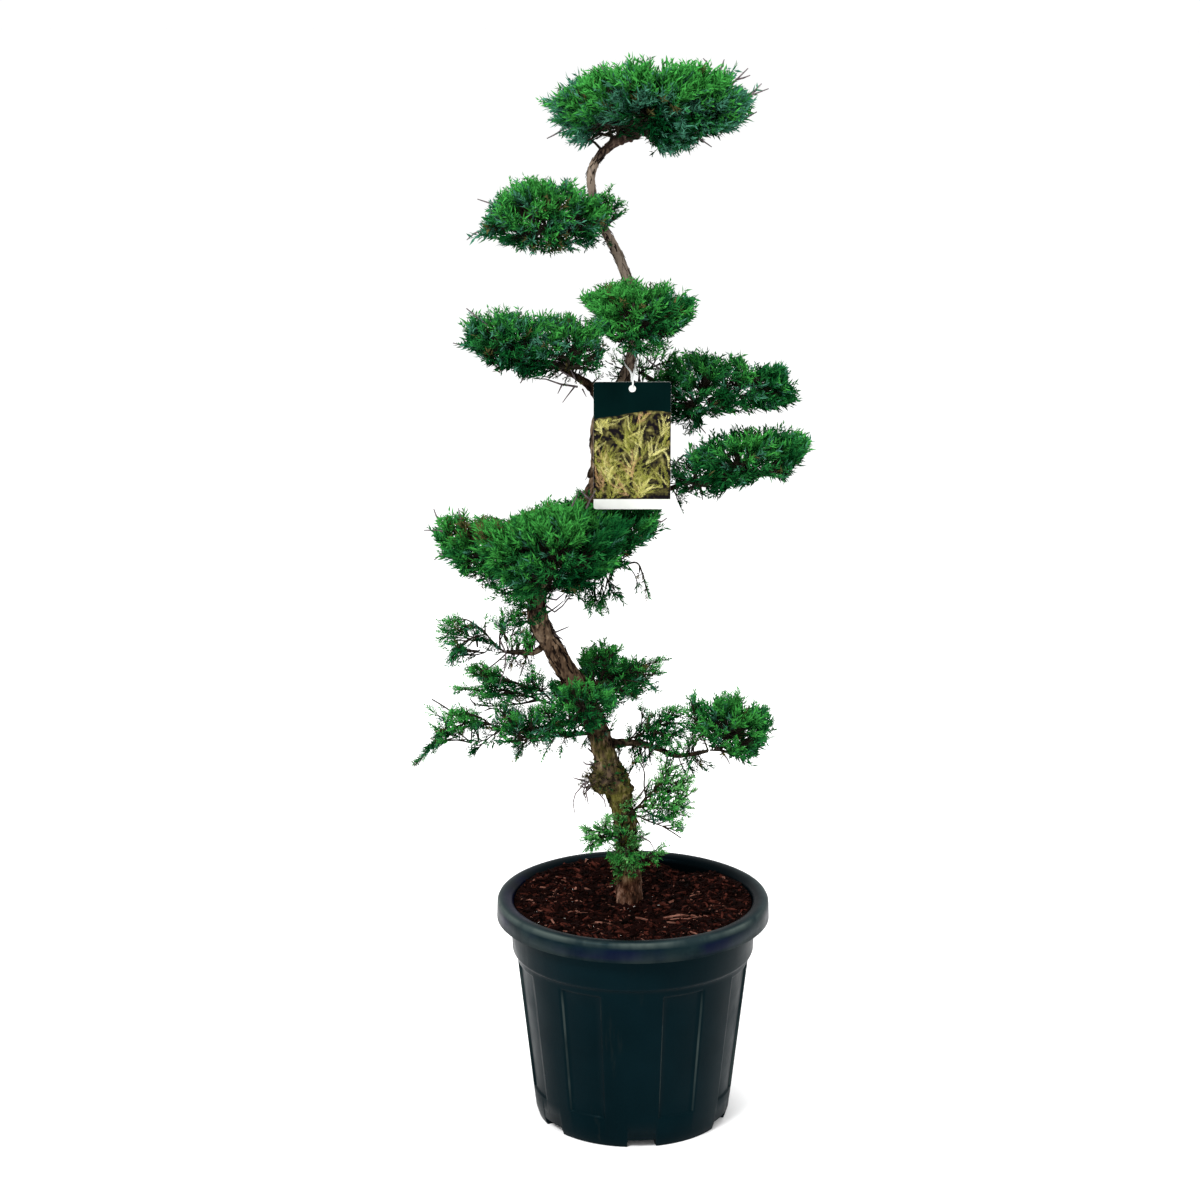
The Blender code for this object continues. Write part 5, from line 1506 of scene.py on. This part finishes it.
# twigs with no leaves on them
bareTwigs = [
    [(114, -10, 1361), (126, -14, 1373), (138, -16, 1385)],
    [(123, -14, 1371), (133, -10, 1373), (141, -8, 1376)],
    [(127, 0, 1343), (144, -6, 1352), (164, -10, 1360)],
    [(141, -6, 1349), (150, 0, 1360), (156, 4, 1365)],
    [(132, 10, 1320), (142, 12, 1325), (151, 12, 1330)],
    [(100, 10, 1374), (107, 14, 1386), (110, 14, 1394)],
    [(81, -30, 1384), (86, -34, 1394), (82, -36, 1398)], [(16, 0, 1379), (18, 0, 1389), (18, 0, 1398)],
    [(-39, 10, 1376), (-41, 12, 1384), (-44, 12, 1390)],
    [(-90, -20, 1354), (-95, -22, 1359), (-92, -22, 1364)],
    [(-84, 20, 1312), (-98, 26, 1302), (-110, 26, 1296)],
    [(66, -18, 1308), (82, -22, 1298), (94, -24, 1290)],
    [(-161, -10, 1209), (-178, -12, 1219), (-196, -14, 1225)],
    [(-186, 10, 1186), (-202, 12, 1179), (-211, 12, 1171)],
    [(-44, -8, 1213), (-30, -14, 1215), (-18, -16, 1218)],
    [(-41, -8, 1196), (-34, -12, 1189), (-28, -12, 1182)],
    [(-184, -20, 1067), (-199, -22, 1080), (-211, -22, 1090)],
    [(-190, 10, 1052), (-203, 12, 1062), (-216, 12, 1068)],
    [(-198, -40, 1045), (-213, -44, 1046), (-227, -46, 1050)],
    [(-72, -8, 988), (-94, -16, 993), (-112, -20, 1000), (-127, -22, 1001)],
    [(-91, -14, 993), (-97, -18, 981)], [(-76, -8, 988), (-84, -16, 979), (-91, -20, 970)],
    [(-66, -6, 985), (-61, -12, 976)], [(-132, -30, 1011), (-139, -34, 1004), (-144, -34, 997)],
    [(72, 20, 886), (62, 18, 868), (54, 16, 844)], [(85, 20, 891), (84, 14, 871), (88, 10, 838)],
    [(64, 20, 895), (54, 16, 886), (47, 14, 871)], [(100, 20, 875), (105, 20, 857), (108, 20, 836)],
    [(72, 30, 941), (84, 26, 931), (92, 24, 922)], [(38, 10, 1004), (20, 6, 1017), (7, 4, 1030)],
    [(-238, -10, 800), (-254, -12, 803), (-269, -12, 803)],
    [(-234, 10, 774), (-248, 12, 766), (-258, 12, 758)],
    [(-248, -10, 813), (-253, -12, 822), (-256, -12, 831)],
    [(-220, -20, 816), (-222, -22, 826), (-224, -22, 834)],
    [(-79, -60, 845), (-74, -64, 856), (-71, -64, 864)],
    [(-61, -50, 840), (-56, -54, 852), (-49, -56, 865)],
    [(-56, -54, 852), (-63, -54, 858), (-69, -54, 865)],
    [(26, -20, 818), (35, -20, 816), (42, -20, 821)],
    [(-114, -12, 714), (-100, -20, 713), (-87, -24, 725)],
    [(-113, -12, 703), (-102, -20, 697), (-92, -24, 706), (-80, -26, 722)],
    [(-126, -12, 695), (-134, -16, 704), (-142, -16, 708)],
    [(-113, -12, 671), (-100, -18, 670), (-84, -22, 678)],
    [(-106, -14, 666), (-98, -18, 664), (-91, -20, 660)],
    [(-173, -14, 658), (-165, -30, 646), (-166, -34, 626), (-173, -34, 605)],
    [(-158, -12, 642), (-150, -20, 628), (-138, -22, 619)],
    [(-49, 0, 469), (-65, -12, 462), (-76, -16, 450), (-79, -16, 438), (-77, -16, 424)],
    [(-63, -6, 465), (-72, -10, 468), (-79, -12, 471)],
    [(-62, -10, 462), (-66, -16, 452), (-62, -18, 444)],
    [(-52, -4, 486), (-62, -10, 489), (-66, -12, 493)],
    [(-54, -2, 462), (-62, -20, 454), (-59, -22, 438)],
    [(-49, 0, 450), (-38, -20, 443), (-36, -22, 433)], [(9, 2, 502), (11, -6, 493), (15, -8, 483)],
    [(45, 0, 500), (43, -6, 488), (38, -8, 479)], [(77, 0, 500), (84, 6, 487), (84, 8, 475)],
    [(24, 0, 508), (22, 10, 516), (17, 12, 526)], [(116, 0, 502), (123, 6, 492), (127, 8, 483)],
    [(4, -4, 438), (16, -14, 458), (24, -16, 469)], [(9, -10, 390), (22, -22, 386), (28, -24, 375)],
    [(-82, -10, 1002), (-96, -18, 1012), (-112, -22, 1014)],
    [(-96, -12, 1010), (-106, -20, 1002), (-117, -22, 1004)],
    [(-90, -10, 1006), (-98, -20, 1022), (-108, -24, 1032)],
    [(-74, -8, 996), (-80, -16, 1010), (-90, -20, 1022)],
]
growth = {
    "underside": 0.85,  # a lobe's depth below its middle, as a share of that above
    "squareness": 2.4,
    "goldenAngle": math.pi * (3.0 - math.sqrt(5.0)),
    # pairs: dense masses, open masses
    "twigsAnArea": (5000.0, 2300.0),  # for each square metre of a lobe's outside
    "mainTwigs": (11, 5),
    "spraysATwig": (10, 8),
    "firstSpray": (0.42, 0.25),  # where along its twig the first spray grows
    "spraySize": (1.0, 0.66),
    "flow": (0.5, 0.15),  # how far the sprays turn away from the lobe's foot
    "twigFoot": (0.62, 0.5),  # thickness at a twig's foot, as a share of twigRadius
    "looseLimit": (2.3, 1.4),  # how far out side branches carry sprays; 1 is the lobe's outside
    "padLimit": 1.14,  # how far out the other twigs do
    "besideSpines": 0.28,  # share of its twigs that an open mass with side branches keeps
    "sprayLength": (0.03, 0.048),
    "splay": (0.5, 0.08),  # along a twig and at its tip
    "fullTwig": 0.05,  # a shorter twig carries fewer sprays
    "cordSize": (0.026, 0.007),  # a short spray keeps its cords' thickness
    "ragged": 0.26,
    "hollows": (34.0, -0.13, 0.66),  # how fine the gaps between clumps are, how wide, and how empty
    "chinks": (70.0, -0.08, 0.7, 0.84),  # the same for the finer gaps, and how far out they start
    "fullTop": 0.25,  # share of the gaps that the middle of a pad has, seen from above
    "stickingOut": 0.18,  # share of the sprays that pass their outline a little
    "lieInside": ((0.98, 1.18), (0.62, 0.82)),  # how much of a spray has to lie inside: most of them, those
    "tries": 3,
    "shortening": 0.76,  # of a spray that doesn't fit, at each try
    "feathering": 1.6,  # a spray this many times its length from the outline is an open one
    "twigRadius": 0.0022,
    "stemRadius": 0.003,
    "limbRoom": 0.0012,
    "middleRoom": 0.0008,
    "mainTwigRoom": 0.004,
    "trianglesAPiece": 180000,
}
spine = {
    # the side branches and their twigs
    "thickness": (0.42, 2.4),  # as shares of twigRadius: at least, and more for each metre of length
    "end": 0.36,
    "twigGap": 0.0038,
    "firstTwig": 0.16,
    "twigReach": (0.008, 0.024),
    "held": (0.8, 0.45),  # share of a spray that has to lie inside the outlines: dense, open
    "endHeld": (0.8, 0.0),
    "sprays": 4,
    "spraySize": 0.72,
}
# kept open for the view on to the tag and its tie: between two x, between two z, in front of y
tagViews = [((-0.056, 0.05), (0.83, 1.002), -0.024), ((-0.013, 0.013), (0.998, 1.03), 0.0)]
# shade, deep, mid, bright and fresh are steps of painted light and shade, fresh partly the base shoots' own
# fresh green; blue and dry are the needles' own colours
tints = {
    # darker foot and lighter tips, painted shade and painted highlight
    "shade": ((0.0004, 0.0062, 0.0016), (0.0024, 0.04, 0.011)),
    "deep": ((0.0006, 0.0145, 0.0036), (0.0058, 0.073, 0.0165)),
    "blue": ((0.0024, 0.024, 0.014), (0.047, 0.166, 0.103)),
    "mid": ((0.0012, 0.023, 0.006), (0.017, 0.13, 0.03)),
    "bright": ((0.003, 0.046, 0.008), (0.042, 0.245, 0.043)),
    "fresh": ((0.012, 0.09, 0.016), (0.13, 0.37, 0.11)),
    "dry": ((0.008, 0.0075, 0.003), (0.08, 0.072, 0.026)),
}
# a spray's light is painted light and shade: lighter high up and far out, darker deep inside, with random
# patches besides
tintRule = {
    "byHeight": 0.3,
    "byLevel": (0.7, 0.8),
    "patches": (0.34, 22.0),  # how strong and how fine
    "scatter": 0.13,
    "blueShare": 0.55,
    "freshFrom": 0.2,  # only masses this light have fresh sprays
    # the light below which a spray has this tint
    "shade": -0.34,
    "deep": -0.02,
    "mid": 0.26,
    "blue": 0.42,
    "bright": 0.58,
}


def inMetres(point):
    return tuple(number / 1000.0 for number in point)


class Lobe:
    def __init__(self, centre, half, widening):
        self.centre, self.half, self.widening = Vector(centre), Vector(half), widening

    def surface(self, way):
        norm = sum(abs(part) ** growth["squareness"] for part in way) ** (-1.0 / growth["squareness"])
        x, y, z = way * norm
        depth = self.half.z * (growth["underside"] if z < 0.0 else 1.0)
        wide = 1.0 + self.widening * z
        return self.centre + Vector((x * self.half.x * wide, y * self.half.y * wide, z * depth))

    def level(self, point):
        x, y, z = point - self.centre
        z /= self.half.z * (growth["underside"] if z < 0.0 else 1.0)
        wide = 1.0 + self.widening * max(-1.0, min(1.0, z))
        parts = (x / (self.half.x * wide), y / (self.half.y * wide), z)
        return sum(abs(part) ** growth["squareness"] for part in parts) ** (1.0 / growth["squareness"])

    def outside(self):
        # about its area
        x, y, z = self.half
        return 4.2 * (x * y + x * z + y * z)


class Mass:
    def __init__(self, name):
        plan = massPlan[name]
        self.name, self.dense = name, plan["dense"]
        self.light, self.blue, self.dry = plan["light"], plan["blue"], plan["dry"]
        self.outlines = plan["outlines"] or list(padOutlines)
        self.lobes = [Lobe(inMetres(centre), inMetres(half), plan["widening"])
                      for centre, half in plan["lobes"]]
        self.chance = random.Random(name)
        self.spraySize = growth["spraySize"][not self.dense]
        self.stemRadius = growth["stemRadius"]
        carrier = plan["carrier"]
        if carrier == "trunkTip":
            line = trunkPlan["line"]
            self.root = Vector(line[-2][:3]).lerp(Vector(line[-1][:3]), 0.8)
        elif carrier in boughPlan:
            line = boughLine(carrier)
            self.root = Vector(line[-2][:3]).lerp(Vector(line[-1][:3]), 0.6)
            self.stemRadius = line[-1][3] * 0.95
        else:
            self.root = Vector(inMetres(carrier))
        self.hubs = []
        for lobe in self.lobes:
            below = lobe.centre - Vector((0.0, 0.0, lobe.half.z * 0.35))
            self.hubs.append(below.lerp(self.root, 0.25))

    def level(self, point):
        return min(lobe.level(point) for lobe in self.lobes)


def fromFront(point, plane):
    # where the point shows on an upright plane, in millimetres, seen by the camera
    eyeX, eyeY, eyeZ = view["place"]
    share = (plane / 1000.0 - eyeY) / (point.y - eyeY)
    return 1000.0 * (eyeX + (point.x - eyeX) * share), 1000.0 * (eyeZ + (point.z - eyeZ) * share)


def insideOutline(point, names):
    for name in names:
        plane, edge = padOutlines[name]
        x, z = fromFront(point, plane)
        inside = False
        for (x0, z0), (x1, z1) in zip(edge, edge[1:] + edge[:1]):
            if (z0 > z) != (z1 > z) and x < x0 + (x1 - x0) * (z - z0) / (z1 - z0):
                inside = not inside
        if inside:
            return True
    return False


def inWindow(point):
    x, z = fromFront(point, 0.0)
    return any(((x - wx) / wide) ** 2 + ((z - wz) / high) ** 2 < 1.0 for wx, wz, wide, high in skyWindows)


def spotAmount(spots, point):
    x, z = fromFront(point, 0.0)
    return sum(amount * math.exp(-((x - sx) ** 2 + (z - sz) ** 2) / reach ** 2)
               for sx, sz, reach, amount in spots)


def evenWays(count, chance):
    # ways spread evenly over a sphere
    for index in range(count):
        height = 1.0 - (2.0 * index + 1.0) / count
        ring = math.sqrt(1.0 - height * height)
        angle = growth["goldenAngle"] * index
        nudge = Vector((chance.uniform(-1, 1), chance.uniform(-1, 1), chance.uniform(-1, 1))) * 0.18
        yield (Vector((ring * math.cos(angle), ring * math.sin(angle), height)) + nudge).normalized()


def nearestFork(hub, tip, ends):
    # where on the main twigs a twig to this tip forks off
    forks = [hub]
    for end in ends:
        branch = end - hub
        share = max(0.0, min(1.0, (tip - hub).dot(branch) / branch.length_squared))
        beside = (tip - hub - branch * share).length
        forks.append(hub + branch * max(0.15, share - 0.7 * beside / branch.length))
    return min(forks, key=lambda fork: (tip - fork).length)


def isFree(point, room):
    # clear of the limbs, of the tag and of the view on to the tag and its tie
    if limbSurface.find_nearest(point, room)[0] is not None:
        return False
    x, y, z = point
    return not any(left < x < right and low < z < high and y < front
                   for (left, right), (low, high), front in tagViews)


def arched(start, stop, lean, chance, steps=4):
    # a twig's path that sets off along lean and bends over to its tip
    reach = (stop - start).length
    middle = start.lerp(stop, 0.5) + lean * reach * 0.16
    middle += wander(chance) * reach * 0.035
    shares = [index / steps for index in range(steps + 1)]
    return [start.lerp(middle, share).lerp(middle.lerp(stop, share), share) for share in shares]


def along(path, share):
    spot = share * (len(path) - 1)
    index = min(int(spot), len(path) - 2)
    return path[index].lerp(path[index + 1], spot - index), (path[index + 1] - path[index]).normalized()


def sprayTint(mass, lobe, spot, chance):
    if chance.random() < mass.dry + spotAmount(drySpots, spot):
        return "dry"
    # painted light and shade: higher in its lobe and further out is lighter
    height = (spot.z - lobe.centre.z) / lobe.half.z
    strength, middle = tintRule["byLevel"]
    light = tintRule["byHeight"] * height + strength * (mass.level(spot) - middle)
    light = light + mass.light + spotAmount(lightSpots, spot)
    strength, fineness = tintRule["patches"]
    light += strength * noise.noise(spot * fineness) + chance.gauss(0.0, tintRule["scatter"])
    if light < tintRule["shade"]:
        return "shade"
    if light < tintRule["blue"] and chance.random() < mass.blue * tintRule["blueShare"]:
        return "blue"
    if light < tintRule["deep"]:
        return "deep"
    if light < tintRule["mid"]:
        return "mid"
    return "bright" if light < tintRule["bright"] or mass.light < tintRule["freshFrom"] else "fresh"


class Crown:
    # what has grown so far: wood as lines of (place, radius), sprays by tint
    def __init__(self):
        self.twigs = []
        self.bare = []
        self.sprays = {tint: [] for tint in tints}
        self.skipped = 0

    def addTwig(self, path, thick, thin, bare=False):
        last = len(path) - 1
        line = [(*point, thick + (thin - thick) * index / last) for index, point in enumerate(path)]
        (self.bare if bare else self.twigs).append(line)

    def inGap(self, mass, lobe, point):
        # whether a dense mass is open here, between its clumps
        fine, low, empty = growth["hollows"]
        if point.z > lobe.centre.z + 0.5 * lobe.half.z and point.y > lobe.centre.y - 0.3 * lobe.half.y:
            empty *= growth["fullTop"]
        if noise.noise(point * fine) < low and mass.chance.random() < empty:
            return True
        fine, low, empty, start = growth["chinks"]
        if mass.level(point) <= start or noise.noise(point * fine) >= low:
            return False
        return mass.chance.random() < empty

    def addSpray(self, mass, lobe, root, way, length, kinds, held):
        # held: share of the spray that has to lie inside the mass's outlines
        chance = mass.chance
        end = root + way * length
        if mass.dense and self.inGap(mass, lobe, end):
            return False
        reach = held * chance.uniform(*growth["lieInside"][chance.random() < growth["stickingOut"]])
        limit = growth["padLimit"] if held == 1.0 else growth["looseLimit"][not mass.dense]
        for again in range(growth["tries"]):
            if mass.level(end) <= limit:
                if held == 0.0 or insideOutline(root.lerp(end, reach), mass.outlines):
                    break
            length *= growth["shortening"]
            end = root + way * length
        else:
            self.skipped += 1
            return False
        if held > 0.0 and chance.random() < spotAmount(openSpots, end):
            return False
        clear = isFree(end, growth["limbRoom"]) and isFree(root.lerp(end, 0.5), growth["middleRoom"])
        if inWindow(end) or not clear:
            self.skipped += 1
            return False
        if mass.dense and held == 1.0:
            if not insideOutline(root.lerp(end, growth["feathering"]), mass.outlines):
                kinds = openKinds  # feathery along the edge of a pad
        turn = way.to_track_quat("X", "Z").to_matrix() @ Matrix.Rotation(chance.uniform(*anyTurn), 3, "X")
        byMass, least = growth["cordSize"]
        flat = max(length, byMass * mass.spraySize + least)
        tint = sprayTint(mass, lobe, end, chance)
        self.sprays[tint].append((root, turn.to_euler(), (length, flat, flat), chance.choice(kinds)))
        return True


crown = Crown()
denseKinds, openKinds = range(6), range(6, 10)  # in the order of sprayShapes


def growTwig(mass, lobe, fork, tip, lean, count=None, first=None, size=1.0, held=1.0):
    chance = mass.chance
    sparse = not mass.dense
    path = arched(fork, tip, lean, chance)
    reach = (tip - fork).length
    count = count or growth["spraysATwig"][sparse]
    first = growth["firstSpray"][sparse] if first is None else first
    if reach < growth["fullTwig"]:
        count = max(3, round(count * reach / growth["fullTwig"]))
    base = lobe.centre - Vector((0.0, 0.0, lobe.half.z * 0.85))
    last = 0.0
    for index in range(count):
        share = min(1.0, first + (1.0 - first) * (index + chance.random() * 0.6) / count)
        spot, heading = along(path, share)
        length = chance.uniform(*growth["sprayLength"]) * mass.spraySize * size
        side = Matrix.Rotation(growth["goldenAngle"] * index + chance.uniform(-0.4, 0.4), 3, heading)
        side = side @ heading.orthogonal().normalized()
        flow = (spot - base).normalized() * growth["flow"][sparse]
        splay = growth["splay"][index == count - 1] * chance.uniform(0.5, 1.3)
        way = (heading + side * splay + flow + Vector((0, 0, 0.08))).normalized()
        if crown.addSpray(mass, lobe, spot, way, length, openKinds if sparse else denseKinds, held):
            last = share
    if last > 0.0:
        kept = [along(path, last * step / 4.0)[0] for step in range(5)]
        radius = growth["twigRadius"]
        crown.addTwig(kept, radius * growth["twigFoot"][sparse], radius * 0.28)


def growSpine(mass, points):
    # a side branch along its line, with twigs all round it
    chance = mass.chance
    path = [Vector(row[:3]) for row in blendLine([(*p, 0.0) for p in points], 5)]
    total = sum((b - a).length for a, b in zip(path, path[1:]))
    least, more = spine["thickness"]
    thick = growth["twigRadius"] * (least + more * total)
    crown.addTwig(path[:-2], thick, growth["twigRadius"] * spine["end"])
    count = max(4, round(total / spine["twigGap"]))
    first = spine["firstTwig"]
    sprays, size, sparse = spine["sprays"], spine["spraySize"], not mass.dense
    for index in range(count):
        share = first + (1.0 - first) * (index + chance.random() * 0.5) / count
        spot, heading = along(path, min(1.0, share))
        lobe = min(mass.lobes, key=lambda item: item.level(spot))
        side = Matrix.Rotation(growth["goldenAngle"] * index, 3, heading)
        side = side @ heading.orthogonal().normalized()
        side = Vector((side.x, side.y * 0.8, side.z)).normalized()
        reach = chance.uniform(*spine["twigReach"]) * (1.15 - 0.5 * share)
        way = (heading * 0.85 + side * chance.uniform(0.5, 0.9)).normalized()
        growTwig(mass, lobe, spot, spot + way * reach, heading, sprays, 0.15, size, spine["held"][sparse])
    held = spine["endHeld"][sparse]
    growTwig(mass, mass.lobes[-1], path[-3], path[-1], heading, sprays, 0.1, size, held)


def growMass(mass):
    chance, radius = mass.chance, growth["twigRadius"]
    spines = [[inMetres(point) for point in line] for line in sideBranches.get(mass.name, [])]
    if spines:
        first = Vector(spines[0][0])
        crown.addTwig([mass.root, mass.root.lerp(first, 0.5), first], mass.stemRadius, radius)
        for points in spines:
            growSpine(mass, points)
    else:
        stem = [mass.root, mass.hubs[0], mass.hubs[0].lerp(mass.lobes[0].centre, 0.8)]
        crown.addTwig(stem, mass.stemRadius, radius * 0.7)
    share = growth["besideSpines"] if spines and not mass.dense else 1.0
    for lobe, hub in zip(mass.lobes, mass.hubs):
        if hub is not mass.hubs[0] and not spines:
            crown.addTwig([mass.hubs[0], mass.hubs[0].lerp(hub, 0.5), hub], radius * 1.2, radius)
        ways = evenWays(growth["mainTwigs"][not mass.dense], chance)
        ends = [hub.lerp(lobe.surface(way), 0.62) for way in ways]
        ends = [end for end in ends
                if isFree(end, growth["mainTwigRoom"]) and insideOutline(end, mass.outlines)]
        if not spines:
            for end in ends:
                start = mass.root.lerp(hub, chance.uniform(0.3, 1.0)) if lobe is mass.lobes[0] else hub
                path = arched(start, end, Vector((0, 0, 0.4)), chance, 6)
                crown.addTwig(path, radius * 1.25, radius * 0.6)
        count = round(6 + growth["twigsAnArea"][not mass.dense] * lobe.outside() * share)
        for way in evenWays(count, chance):
            edge = lobe.surface(way)
            if any(other.level(edge) < 0.9 for other in mass.lobes if other is not lobe):
                continue
            lumpy = 0.16 * max(0.0, noise.noise(way * 2.6 + lobe.centre * 9.0))
            tip = lobe.centre.lerp(edge, 0.93 - lumpy - growth["ragged"] * chance.random() ** 2.0)
            fork = nearestFork(hub, tip, ends)
            for again in range(6):
                if insideOutline(tip, mass.outlines):
                    break
                tip = tip.lerp(hub, 0.16)
            else:
                continue
            if (tip - fork).length < 0.008:
                fork = hub
            lean = (fork - hub).normalized() if (fork - hub).length > 0.004 else way
            growTwig(mass, lobe, fork, tip, (lean + Vector((0, 0, 0.25))).normalized())


def sprayShape(seed, cords, spread, flatness, thick):
    # one spray along +X, one unit long: an axis with short scaly cords on alternate sides
    chance = random.Random(seed)
    points, faces, tips = [], [], []

    def cord(root, way, length, radius, low, high):
        side = Matrix.Rotation(chance.uniform(*anyTurn), 3, way) @ way.orthogonal().normalized() * radius
        ridge = root + way * length * 0.42 + way.cross(side) * 0.5
        start = len(points)
        points.extend([root, root + way * length, ridge + side, ridge - side])
        middle = low + (high - low) * 0.45
        tips.extend([low, high, middle, middle])
        corners = ((0, 2, 1), (0, 3, 2), (0, 1, 3), (1, 2, 3))
        faces.extend((start + a, start + b, start + c) for a, b, c in corners)

    bend = Vector((0, chance.uniform(-0.16, 0.16), chance.uniform(-0.1, 0.1)))
    cord(Vector((0, 0, 0)), (Vector((1, 0, 0)) + bend).normalized(), 1.0, thick * 0.8, 0.0, 1.0)
    for index in range(cords):
        share = 0.06 + 0.8 * (index + 0.4 * chance.random()) / cords
        side = 1.0 if index % 2 else -1.0
        tilt = chance.gauss(0.0, flatness)
        angle = spread * chance.uniform(0.65, 1.3)
        across = math.sin(angle)
        way = Vector((math.cos(angle), side * across * math.cos(tilt), across * math.sin(tilt)))
        length = (0.4 - 0.16 * share) * chance.uniform(0.65, 1.3)
        root = (Vector((1, 0, 0)) + bend) * share
        radius = thick * chance.uniform(0.85, 1.15)
        cord(root, way.normalized(), length, radius, share, min(1.0, share + 0.4))
    mesh = bpy.data.meshes.new("spray")
    mesh.from_pydata([tuple(p) for p in points], [], faces)
    mesh.attributes.new("tip", "FLOAT", "POINT").data.foreach_set("value", tips)
    return mesh


sprayShapes = [
    # cords, how far they spread, how far they tilt, how thick they are; the first six are for dense masses
    (13, 0.46, 0.9, 0.029), (14, 0.4, 1.1, 0.027), (13, 0.54, 0.7, 0.03), (14, 0.44, 1.0, 0.028),
    (14, 0.38, 1.3, 0.027), (13, 0.56, 0.8, 0.03), (8, 0.62, 0.6, 0.04), (9, 0.66, 0.9, 0.038),
    (8, 0.54, 0.7, 0.043), (9, 0.5, 0.8, 0.04),
]
sprayMeshes = [sprayShape(seed, *shape) for seed, shape in enumerate(sprayShapes, 1)]
sprayStore = shapeStore("sprayShape", sprayMeshes)
sprayFaces = [len(item.data.polygons) for item in sprayStore.objects]


class SprigPatch:
    # short leafy twigs straight from the bark of a limb; it stands where a mass does
    def __init__(self, place, spread, reach, light, blue, dry, outlines):
        self.lobes = [Lobe(Vector(place) / 1000.0, Vector((1, 1, 1)) * spread / 1000.0, 0.0)]
        self.light, self.blue, self.dry, self.outlines = light, blue, dry, outlines
        self.dense = False
        self.spraySize = min(0.7, reach / 40.0)
        self.chance = random.Random(str(place))

    def level(self, point):
        return 0.95


def growSprigs(place, spread, count, reach, light, blue, dry, outlines=None):
    patch = SprigPatch(place, spread, reach, light, blue, dry, outlines)
    chance, lobe = patch.chance, patch.lobes[0]
    for index in range(count):
        shift = wander(chance) * spread / 1600.0
        spot, normal, _, _ = limbSurface.find_nearest(lobe.centre + shift)
        way = (normal + Vector((0, 0, chance.uniform(-0.1, 0.8))) + 0.4 * shift.normalized()).normalized()
        tip = spot + way * reach / 1000.0 * chance.uniform(0.5, 1.1)
        growTwig(patch, lobe, spot, tip, way, 6, 0.1, 1.0, 1.0 if outlines else 0.0)


for massName in massPlan:
    growMass(Mass(massName))
for sprigs in sprigPatches:
    growSprigs(*sprigs)
for lines, thick, thin, bare in ((spurs, 0.0022, 0.0008, False), (bareTwigs, 0.0015, 0.0006, True)):
    for line in lines:
        crown.addTwig([Vector(point) / 1000.0 for point in line], thick, thin, bare)
print("sprays grown:", {tint: len(spots) for tint, spots in crown.sprays.items()}, "skipped", crown.skipped)


def makeWood(name, lines, finish):
    # thin limbs as one curve of many splines, made a mesh
    curve = bpy.data.curves.new(name, "CURVE")
    curve.dimensions = "3D"
    curve.bevel_depth = 1.0
    curve.bevel_resolution = 0
    curve.use_fill_caps = True
    curve.materials.append(finish)
    for line in lines:
        spline = curve.splines.new("POLY")
        spline.points.add(len(line) - 1)
        for point, (x, y, z, radius) in zip(spline.points, line):
            point.co = (x, y, z, 1.0)
            point.radius = radius
    settle(asPlainMesh(linkTo(scene.collection, name + "Curve", curve), name), "bark")


def makeLeaves():
    nodes = ["foliage_" + name for name in massPlan]
    total = 0
    for tint, (dark, light) in tints.items():
        finish = leafFinish(tint + "Leaves", dark, light)
        batch, load, number = [], 0, 1
        spots = crown.sprays[tint]
        for index, spot in enumerate(spots):
            batch.append(spot)
            load += sprayFaces[spot[3]]
            if load > growth["trianglesAPiece"] or index == len(spots) - 1:
                piece = scattered(f"{tint}Sprays{number}", batch, sprayStore, finish)
                settle(piece, "foliage", *nodes)
                total += load
                batch, load, number = [], 0, number + 1
    print("leaf triangles:", total)


def twigFinish(name, roughness, grain, dark, light):
    made = Finish(name, roughness, 0.1)
    made.colour(made.ramp(made.noise(grain, 3.0), [(0.3, dark), (0.7, light)]))
    made.bump(made.noise(500.0, 2.0), 0.0004, 0.6)
    return made.material


makeLeaves()
# twigs: dark bark, darkened further as painted shade inside the crown
makeWood("twigs", crown.twigs,
         twigFinish("twigBarkAndShade", 0.85, 120.0, (0.0022, 0.0022, 0.0012), (0.022, 0.017, 0.0095)))
makeWood("bareTwigs", crown.bare,
         twigFinish("bareTwigBark", 0.8, 150.0, (0.03, 0.024, 0.026), (0.15, 0.12, 0.125)))
print("crown made")
